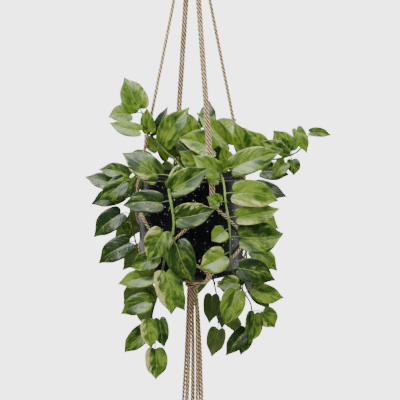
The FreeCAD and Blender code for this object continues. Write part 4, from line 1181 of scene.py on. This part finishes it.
leafForm = {
    "rows": 25,
    "columns": 17,
    "lobe": 0.115,             # how far the two lobes reach back beside the stalk, as a share of length
    "thickness": 0.00045,
    "fold": (0.05, 0.42),      # radians each half is raised along the midrib
    "arch": (0.35, 1.05),      # radians the midrib bends from stalk to tip
    "twist": (-0.35, 0.35),
    "wave": (0.01, 0.045),     # height of the edge's waves as a share of the width
    "waves": 1.7,              # of them along the edge
    "lean": (-0.06, 0.06),     # the midrib's bend to one side, as a share of length
    "widest": 0.53,            # half the blade's width, as a share of the plate's
    "tipStart": 0.62,          # where the tip begins to draw in
    "tipDraw": 0.55,
    "droop": 0.8,
    "veinHeight": 0.006,
    "veinPairs": 7,
    "veinLean": 0.34,
    "grooveDepth": 0.016,
    "grooveWidth": 0.07,
    "tone": (0.0, 0.9),
    "mostCream": 0.34,
}


def solidsOf(node):
    # the separate solids of a node: corners at one place are merged, and corners that share a
    # triangle get the lowest number among them, again and again until nothing changes
    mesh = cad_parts[node].data
    co = np.zeros(len(mesh.vertices) * 3)
    mesh.vertices.foreach_get("co", co)
    mesh.calc_loop_triangles()
    tri = np.zeros(len(mesh.loop_triangles) * 3, dtype=np.int64)
    mesh.loop_triangles.foreach_get("vertices", tri)
    spots, where = np.unique(np.round(co.reshape(-1, 3) * 1e6).astype(np.int64), axis=0, return_inverse=True)
    tri = where.ravel()[tri].reshape(-1, 3)
    label = np.arange(len(spots))
    while True:
        lowest = label[tri].min(axis=1)
        fresh = label.copy()
        for k in range(3):
            np.minimum.at(fresh, tri[:, k], lowest)
        fresh = fresh[fresh]
        if (fresh == label).all():
            break
        label = fresh
    return [spots[label == one] / 1e6 for one in np.unique(label)]


def readLeaf(corners):
    # a plate's thin direction is its normal; its larger face is the upper one; the tip is the corner
    # furthest from the middle, and the stalk joins between the two corners furthest from the tip
    middle = corners.mean(axis=0)
    normal = np.linalg.svd(corners - middle)[2][2]
    height = (corners - middle) @ normal
    first, second = corners[height > 0], corners[height <= 0]
    if np.ptp(first, axis=0).sum() < np.ptp(second, axis=0).sum():
        first, normal = second, -normal
    tip = first[np.argmax(np.linalg.norm(first - first.mean(axis=0), axis=1))]
    order = np.argsort(np.linalg.norm(first - tip, axis=1))
    base = first[order[-2:]].mean(axis=0)
    along = unit(tip - base)
    across = np.cross(normal, along)
    width = np.ptp((first - base) @ across)
    return base, tip, normal, across, width


def leafBlades(leaves, seeds, styles):
    # each blade over share along a (0 at the stalk, 1 at the tip) and across b (-1 to 1):
    # half width is (a + 0.1)^0.42 (1 - a)^0.72, drawn in towards the tip; lobes reach back where a is
    # small, the midrib is an arc from stalk to tip, halves fold up along it, the edge waves
    form = leafForm
    t = np.linspace(0, 1, form["rows"])
    a = (0.35 * t + 0.65 * (1 - np.cos(math.pi * t)) / 2)[None, :, None]
    s = np.linspace(-1, 1, form["columns"])
    b = (s * (0.4 + 0.6 * np.abs(s)))[None, None, :]
    away = np.abs(b)
    base, tip, normal, across, width = [np.array(v) for v in zip(*leaves)]
    along = unit(tip - base)
    rng = [np.random.default_rng(seed) for seed in seeds]

    def eachLeaf(values):
        return np.array(values)[:, None, None]

    def pick(key):
        return eachLeaf([r.uniform(*form[key]) for r in rng])

    fold, arch, twist, wave = pick("fold"), pick("arch"), pick("twist"), pick("wave")
    phase = np.array([r.uniform(0, 2 * math.pi, 2) for r in rng])
    lean = pick("lean")
    fold = eachLeaf([style.get("fold", f) for style, f in zip(styles, fold[:, 0, 0])])
    L, W = eachLeaf(np.linalg.norm(tip - base, axis=1)), eachLeaf(width)
    drawn = np.clip((a - form["tipStart"]) / (1 - form["tipStart"]), 0, 1)
    half = (a + 0.1) ** 0.42 * (1 - a) ** 0.72 * (1 - form["tipDraw"] * drawn * drawn * (3 - 2 * drawn))
    half = half / half.max() * form["widest"]
    lobes = form["lobe"] * (1 - a) ** 3 * away ** 0.75 * (2.2 - 1.6 * away) / 0.88
    chord = 2 * np.sin(arch / 2)
    forward = (np.sin(arch * (a - 0.5)) / chord + 0.5 - lobes) * L
    droop = (np.cos(arch * (a - 0.5)) - np.cos(arch / 2)) / chord * L * form["droop"]
    raised = fold * (1 - 0.4 * a)
    sideways = b * half * W * np.cos(raised) + lean * L * np.sin(math.pi * a)
    turns = 2 * math.pi * form["waves"] * a + phase[:, :1, None] + b * phase[:, 1:, None]
    ribs = np.sin(2 * math.pi * form["veinPairs"] * (a - form["veinLean"] * away))
    veins = form["veinHeight"] * W * 4 * away * (1 - away) * ribs * (1 - a)
    groove = -form["grooveDepth"] * W * np.exp(-(b / form["grooveWidth"]) ** 2) * (1 - a)
    rise = droop + away * half * W * np.sin(raised) + wave * W * away ** 2 * np.sin(turns) + (veins + groove)
    roll = twist * (a - 0.3)
    turnedSide = sideways * np.cos(roll) - rise * np.sin(roll)
    turnedRise = sideways * np.sin(roll) + rise * np.cos(roll)
    base, along, across, normal = (v[:, None, None, :] for v in (base, along, across, normal))
    points = (base + forward[..., None] * along + turnedSide[..., None] * across
              + turnedRise[..., None] * normal)
    shape = forward.shape
    return points, np.stack([np.broadcast_to(a, shape), np.broadcast_to(b * 0.5 + 0.5, shape)], axis=-1)


def makeLeaves(vine, leaves, startSeed):
    # all the blades of one vine in one mesh, given their thickness by a Solidify modifier
    count = len(leaves)
    styles = [styleFor(leaf[0]) for leaf in leaves]
    points, uv = leafBlades(leaves, range(startSeed, startSeed + count), styles)
    rows, columns = leafForm["rows"], leafForm["columns"]
    corners = rows * columns
    grid = gridFaces(rows, columns, False)[:, ::-1]
    faces = (np.arange(count)[:, None, None] * corners + grid[None]).reshape(-1, 4)
    rng = np.random.default_rng(startSeed)
    tone = rng.uniform(*leafForm["tone"], count)
    cream = rng.choice([-1, 1], count) * leafForm["mostCream"] * rng.uniform(0, 1, count) ** 2.5
    tone = [style.get("tone", v) for style, v in zip(styles, tone)]
    cream = [style["cream"] * np.sign(np.dot(leaf[3], style["side"])) if "cream" in style else v
             for style, v, leaf in zip(styles, cream, leaves)]
    perLeaf = {"seed": rng.uniform(0, 10, count), "tone": tone, "cream": cream}
    attributes = {label: np.repeat(values, corners).astype(np.float32) for label, values in perLeaf.items()}
    piece = makePiece(f"{vine}_foliage", points.reshape(-1, 3), [faces], [leafTop, leafUnder],
                      uv.reshape(-1, 2), attributes)
    thick = piece.modifiers.new("bladeThickness", "SOLIDIFY")
    thick.thickness = leafForm["thickness"]
    thick.offset = -1
    thick.material_offset = 1
    thick.use_even_offset = False
    takePlace(piece, f"{vine}_leaves")


# leaves with a look of their own, by where the stalk joins: how light, how much cream, and
# which way from the midrib the cream lies
leafStyles = [
    ((0.078, -0.098, -0.558), dict(tone=0.75, cream=0.27, side=(-0.4, 0, -1))),
    ((0.084, -0.098, -0.600), dict(tone=0.8, cream=0.22, side=(-0.4, 0, -1))),
    ((0.056, -0.104, -0.668), dict(tone=0.85, cream=0.24, side=(0.3, 0, 1))),
    ((-0.046, -0.112, -0.699), dict(tone=0.55, cream=0.3, side=(-1, 0, 0))),
    ((-0.094, -0.042, -0.410), dict(tone=0.6, cream=0.2, side=(1, 0, 0))),
    ((0.038, -0.052, -0.484), dict(tone=0.75, cream=0.24, side=(0, 0, -1))),
    ((-0.032, -0.116, -0.548), dict(tone=0.35, cream=0.12, side=(0, 0, 1), fold=0.55)),
    ((-0.022, -0.124, -0.597), dict(tone=0.3, cream=0.2, side=(0, 0, 1), fold=0.45)),
    ((-0.050, -0.122, -0.624), dict(tone=0.5, cream=0.22, side=(-1, 0, 0))),
    ((-0.062, -0.106, -0.668), dict(tone=0.45, cream=0.2, side=(1, 0, -1))),
    ((-0.026, -0.122, -0.646), dict(tone=0.1, cream=0.0, side=(1, 0, 0))),
    ((0.090, -0.092, -0.637), dict(tone=0.35, cream=0.0, side=(1, 0, 0))),
    ((0.088, -0.084, -0.695), dict(tone=0.2, cream=0.08, side=(0, 0, -1))),
    ((0.078, -0.098, -0.735), dict(tone=0.6, cream=0.1, side=(0, 0, 1))),
    ((0.046, -0.098, -0.534), dict(tone=1.1, cream=0.0, side=(1, 0, 0))),
    ((-0.055, -0.112, -0.573), dict(tone=0.05, cream=0.1, side=(0, 0, 1))),
    ((-0.062, -0.082, -0.527), dict(tone=0.3, cream=0.22, side=(0, 0, -1))),
    ((-0.126, -0.042, -0.566), dict(tone=0.0, cream=0.0, side=(1, 0, 0))),
    ((-0.130, -0.048, -0.602), dict(tone=-0.2, cream=0.0, side=(1, 0, 0))),
    ((-0.114, -0.056, -0.654), dict(tone=-0.3, cream=0.0, side=(1, 0, 0))),
    ((-0.122, -0.066, -0.541), dict(tone=0.25, cream=0.05, side=(0, 0, 1))),
    ((-0.114, -0.052, -0.532), dict(tone=0.3, cream=0.08, side=(0, 0, -1))),
    ((0.118, 0.044, -0.566), dict(tone=-0.1, cream=0.0, side=(1, 0, 0))),
    ((0.132, 0.026, -0.532), dict(tone=-0.1, cream=0.0, side=(1, 0, 0))),
]


def styleFor(base):
    # the given look of the leaf whose stalk joins nearest to a listed place, if one is near
    for place, style in leafStyles:
        if np.linalg.norm(np.array(place) - base) < 0.004:
            return style
    return {}


# each stem's route from the soil outwards, its radius, and how dark it is at its start and end
vines = {
    "vine_front_left": dict(radius=0.0025, stemDarkness=(0.0, 1.0), route=[
        (-0.012, -0.030, -0.554), (-0.016, -0.050, -0.524),
        (-0.026, -0.076, -0.511), (-0.037, -0.095, -0.523),
        (-0.041, -0.102, -0.548), (-0.035, -0.108, -0.578),
        (-0.030, -0.111, -0.608), (-0.035, -0.111, -0.638),
        (-0.046, -0.107, -0.664), (-0.052, -0.100, -0.694),
        (-0.056, -0.093, -0.726), (-0.066, -0.087, -0.756),
        (-0.074, -0.084, -0.786), (-0.069, -0.082, -0.817), (-0.067, -0.081, -0.834)]),
    "vine_front_right": dict(radius=0.002, stemDarkness=(0.0, 1.0), route=[
        (0.014, -0.028, -0.554), (0.022, -0.046, -0.524), (0.037, -0.066, -0.513), (0.051, -0.084, -0.522),
        (0.058, -0.092, -0.546), (0.059, -0.095, -0.572), (0.065, -0.094, -0.600), (0.068, -0.093, -0.628),
        (0.068, -0.091, -0.656), (0.069, -0.085, -0.684), (0.077, -0.075, -0.713), (0.095, -0.062, -0.744),
        (0.113, -0.054, -0.775), (0.108, -0.052, -0.808)]),
    "vine_left": dict(radius=0.002, stemDarkness=(1.0, 1.0), route=[
        (-0.030, -0.016, -0.554), (-0.054, -0.028, -0.526),
        (-0.082, -0.038, -0.519), (-0.103, -0.043, -0.538),
        (-0.111, -0.044, -0.570), (-0.112, -0.044, -0.602),
        (-0.107, -0.046, -0.632), (-0.101, -0.049, -0.660),
        (-0.095, -0.054, -0.686)]),
    "vine_upper_left": dict(radius=0.002, stemDarkness=(0.15, 1.0), route=[
        (-0.008, -0.012, -0.554), (-0.013, -0.020, -0.530),
        (-0.025, -0.027, -0.511), (-0.044, -0.031, -0.494),
        (-0.063, -0.033, -0.475), (-0.078, -0.034, -0.456),
        (-0.086, -0.035, -0.436), (-0.089, -0.036, -0.420)]),
    "vine_crown": dict(radius=0.002, stemDarkness=(0.0, 0.1), route=[
        (0.006, 0.008, -0.554), (0.008, 0.013, -0.530), (0.012, 0.020, -0.505), (0.017, 0.026, -0.480),
        (0.020, 0.028, -0.458)]),
    "vine_right": dict(radius=0.002, stemDarkness=(0.3, 1.0), route=[
        (0.026, 0.002, -0.554), (0.042, 0.002, -0.525), (0.072, 0.001, -0.510), (0.104, 0.000, -0.506),
        (0.136, 0.001, -0.509), (0.166, 0.002, -0.506), (0.193, 0.002, -0.496), (0.208, 0.002, -0.480),
        (0.213, 0.002, -0.467)]),
    "vine_right_back": dict(radius=0.002, stemDarkness=(0.8, 1.0), route=[
        (0.022, 0.016, -0.554), (0.042, 0.034, -0.526), (0.070, 0.054, -0.517), (0.091, 0.067, -0.532),
        (0.098, 0.071, -0.562), (0.101, 0.069, -0.594), (0.101, 0.065, -0.626), (0.103, 0.059, -0.656),
        (0.105, 0.051, -0.686), (0.103, 0.045, -0.718), (0.098, 0.041, -0.748), (0.095, 0.039, -0.775)]),
    "vine_back": dict(radius=0.002, stemDarkness=(0.6, 1.0), route=[
        (0.004, 0.024, -0.554), (0.009, 0.052, -0.523), (0.015, 0.082, -0.516), (0.019, 0.103, -0.532),
        (0.020, 0.113, -0.564), (0.018, 0.116, -0.598), (0.018, 0.115, -0.632), (0.022, 0.111, -0.664),
        (0.028, 0.102, -0.693), (0.034, 0.090, -0.722), (0.041, 0.078, -0.751), (0.047, 0.067, -0.779),
        (0.052, 0.058, -0.808), (0.050, 0.054, -0.832)]),
    "vine_back_left": dict(radius=0.002, stemDarkness=(0.8, 1.0), route=[
        (-0.014, 0.018, -0.554), (-0.033, 0.044, -0.526), (-0.050, 0.069, -0.515), (-0.062, 0.087, -0.530),
        (-0.068, 0.094, -0.560), (-0.073, 0.093, -0.592), (-0.077, 0.088, -0.624), (-0.079, 0.083, -0.656),
        (-0.081, 0.075, -0.688), (-0.084, 0.066, -0.720),
        (-0.088, 0.060, -0.751), (-0.090, 0.057, -0.775)]),
}


stemForm = {
    "step": 0.002,
    "columns": 14,
    "swelling": (0.22, 0.0028),     # at each leaf joint: share of the radius, and length
    "taper": 0.25,
    "oval": 0.03,
    "darkeningRange": (0.35, 0.4),        # share of the length where it starts to darken, and over how much
}


def makeStems(vine, spec, joints):
    # a round stem with a swelling at each leaf joint
    form = stemForm
    line = splineThrough(np.array(spec["route"]), form["step"])
    walked = lengthsAlong(line)
    share = walked / walked[-1]
    near = np.linalg.norm(line[:, None, :] - joints[None, :, :], axis=2).argmin(axis=0)
    height, width = form["swelling"]
    swelling = np.exp(-((walked[:, None] - walked[near][None, :]) / width) ** 2).max(axis=1)
    angle = np.linspace(0, 2 * math.pi, form["columns"], endpoint=False)
    radii = spec["radius"] * (0.94 + height * swelling - form["taper"] * share ** 2)[:, None]
    radii = radii * (1 + form["oval"] * np.sin(2 * angle + walked[:, None] * 90))
    points, quads, caps = carryProfile(line, radii, 0 * walked)
    # the stem darkens from its start value to its end value along its length
    first, last = spec["stemDarkness"]
    start, over = form["darkeningRange"]
    stemDarkness = first + (last - first) * np.clip((share - start) / over, 0, 1)
    builder = Builder()
    stemDarkness = np.concatenate([np.repeat(stemDarkness, form["columns"]), [first, last]])
    builder.add(points, quads, caps, None, stemDarkness=stemDarkness)
    takePlace(builder.make(f"{vine}_runner", [stemSkin]), f"{vine}_stem")


stalkForm = {
    "points": 14,
    "columns": 10,
    "bowAt": 0.6,              # how far along it bows most
    "bowUp": 0.16,             # as a share of its length
    "bowBack": 0.1,
    "under": (0.012, 0.0006),  # how far it runs on under the blade, and how far below it
    "radius": 0.00085,
    "foot": 0.00045,           # thicker at the joint by this much
    "thin": 0.00055,           # thinner under the blade by this much
    "stemDarkness": 0.45,               # how dark, as a share of the stem's own darkness at its end
}


def makeStalks(vine, spec, stalks, leaves):
    # each stalk bows up from its joint to its leaf, thicker at its foot, and runs on under the blade
    form = stalkForm
    builder = Builder()
    t = np.linspace(0, 1, form["points"])[:, None]
    bases = np.array([leaf[0] for leaf in leaves])
    alongs = unit(np.array([leaf[1] - leaf[0] for leaf in leaves]))
    normals = np.array([leaf[2] for leaf in leaves])
    reachOn, below = form["under"]
    joints = []
    for corners in stalks:
        middle = corners.mean(axis=0)
        axis = np.linalg.svd(corners - middle)[2][0]
        place = (corners - middle) @ axis
        ends = [corners[place < place.min() + 1e-4].mean(axis=0),
                corners[place > place.max() - 1e-4].mean(axis=0)]
        gaps = np.array([np.linalg.norm(bases - end, axis=1) for end in ends])
        tipEnd, leaf = np.unravel_index(gaps.argmin(), gaps.shape)
        root, tip = ends[1 - tipEnd], bases[leaf]
        joints.append(root)
        reach = np.linalg.norm(tip - root)
        lift = np.array([0, 0, form["bowUp"]]) * reach
        bow = root + (tip - root) * form["bowAt"] + lift - alongs[leaf] * form["bowBack"] * reach
        line = (1 - t) ** 2 * root + 2 * t * (1 - t) * bow + t ** 2 * tip
        under = alongs[leaf] * reachOn - normals[leaf] * below
        line = np.vstack([line, tip + under * np.array([[0.35], [0.7], [1.0]])])
        share = np.linspace(0, 1, len(line))
        foot = form["foot"] * np.exp(-(share / 0.1) ** 2)
        radii = form["radius"] + foot - form["thin"] * np.clip((share - 0.8) / 0.2, 0, 1)
        radii = np.repeat(radii[:, None], form["columns"], axis=1)
        points, quads, caps = carryProfile(line, radii, 0 * share)
        builder.add(points, quads, caps, None, stemDarkness=spec["stemDarkness"][1] * form["stemDarkness"])
    takePlace(builder.make(f"{vine}_petioles", [stemSkin]), f"{vine}_stalks")
    return np.array(joints)


def makePlant():
    for number, (vine, spec) in enumerate(vines.items()):
        leaves = [readLeaf(corners) for corners in solidsOf(f"{vine}_leaves")]
        makeLeaves(vine, leaves, 300 + 40 * number)
        joints = makeStalks(vine, spec, solidsOf(f"{vine}_stalks"), leaves)
        makeStems(vine, spec, joints)
        print(vine, "grown with", len(leaves), "leaves")


makePlant()

studio = {
    "floorDrop": 1.3,          # floor below the tassel
    "floorSize": (7.0, 6.0),   # half its width, and how far it comes forwards
    "wallStart": 2.6,          # how far back the floor starts to curve up
    "wallCurve": 1.2,
    "wallHeight": 7.0,
    "distance": 1.84,          # camera from the pot's axis
    "sideways": 0.0147,
    "height": -0.3246,
    "pitch": 8.0,
    "lens": 90,
    "whiteness": 4.0,          # of the floor and the room where they are seen directly
    "fill": 0.68,              # light from all round
    "fillSeen": 0.03,          # the same where it is mirrored
    "lampsAimAt": (0, 0, -0.62),
    "lamps": {                 # place, width and height, power in watts
        "leftSoftbox": ((-1.5, 0.3, 0.75), (1.3, 1.2), 26),
        "rightSoftbox": ((1.5, 0.2, 0.75), (1.3, 1.2), 22),
        "keySoftbox": ((-0.7, -1.7, 0.9), (1.3, 1.0), 58),
        "topSoftbox": ((0.1, 0.1, 1.0), (1.4, 1.4), 34),
        "leftStrip": ((-1.15, 1.5, -1.0), (1.8, 2.4), 12),
        "rightStrip": ((1.75, 1.0, -1.0), (1.9, 2.4), 17),
    },
}
floorLook = {
    "mottle": {"Size": 3.0, "Fine": 5.0, "Low": 0.2, "High": 0.8},
    "colours": ((0.86, 0.86, 0.86), (0.9, 0.9, 0.9)),
    "mirrored": (0.02, 0.02, 0.02),
    "roughness": 0.9,
}


def makeFloorMaterial():
    # plain white where it is seen, and dark in reflections, so only the lamps show in the glaze
    material, nodes, principled, grain = mottledMaterial("paleFloor", floorLook)
    tone = nodes.mix(grain["Patches"], *floorLook["colours"])
    ray = nodes.add("ShaderNodeLightPath").outputs
    nodes.fill(principled, {"Base Color": nodes.mix(ray["Is Glossy Ray"], tone, floorLook["mirrored"]),
                            "Roughness": floorLook["roughness"]})
    glow = nodes.add("ShaderNodeEmission", None, {"Strength": studio["whiteness"]})
    mixed = nodes.add("ShaderNodeMixShader", None, {0: ray["Is Camera Ray"], 1: principled.outputs["BSDF"],
                                                    2: glow.outputs["Emission"]})
    nodes.fill(nodes.tree.nodes["Material Output"], {"Surface": mixed.outputs["Shader"]})
    return material


def makeRoom():
    # a pale floor that curves up into a wall: straight, a quarter circle, straight
    floorZ = tasselLow.z - studio["floorDrop"]
    halfWidth, front = studio["floorSize"]
    radius, back = studio["wallCurve"], studio["wallStart"]
    bend = np.linspace(0, math.pi / 2, 24)[1:]
    y = np.concatenate([[-front, back], back + radius * np.sin(bend), [back + radius]])
    z = np.concatenate([[0.0, 0.0], radius * (1 - np.cos(bend)), [studio["wallHeight"]]]) + floorZ
    points = np.array([[x, y[i], z[i]] for i in range(len(y)) for x in (-halfWidth, halfWidth)])
    piece = makePiece("studioFloor", points, [gridFaces(len(y), 2, False)], [makeFloorMaterial()])


def makeLights():
    for name, (place, size, power) in studio["lamps"].items():
        lamp = bpy.data.lights.new(name, "AREA")
        lamp.shape = "RECTANGLE"
        lamp.size, lamp.size_y = size
        lamp.energy = power
        holder = bpy.data.objects.new(name, lamp)
        holder.location = place
        aim = Vector(studio["lampsAimAt"]) - Vector(place)
        holder.rotation_euler = aim.to_track_quat("-Z", "Y").to_euler()
        bpy.context.scene.collection.objects.link(holder)


def makeWorld():
    world = bpy.data.worlds.new("studioWorld")
    bpy.context.scene.world = world
    world.use_nodes = True
    nodes = Nodes(world.node_tree)
    ray = nodes.add("ShaderNodeLightPath").outputs
    fill = studio["fill"]
    mirrored = nodes.math("MULTIPLY_ADD", ray["Is Glossy Ray"], studio["fillSeen"] - fill, fill)
    seen = nodes.math("MULTIPLY_ADD", ray["Is Camera Ray"], studio["whiteness"] - fill, mirrored)
    nodes.fill(world.node_tree.nodes["Background"], {"Strength": seen, "Color": (1, 1, 1)})


def makeCamera():
    camera = bpy.data.cameras.new("camera")
    camera.lens = studio["lens"]
    camera.sensor_width = 36
    holder = bpy.data.objects.new("camera", camera)
    holder.location = (studio["sideways"], -studio["distance"], studio["height"])
    holder.rotation_euler = (math.radians(90 - studio["pitch"]), 0, 0)
    bpy.context.scene.collection.objects.link(holder)
    bpy.context.scene.camera = holder


makeRoom()
makeLights()
makeWorld()
makeCamera()
print("studio made")
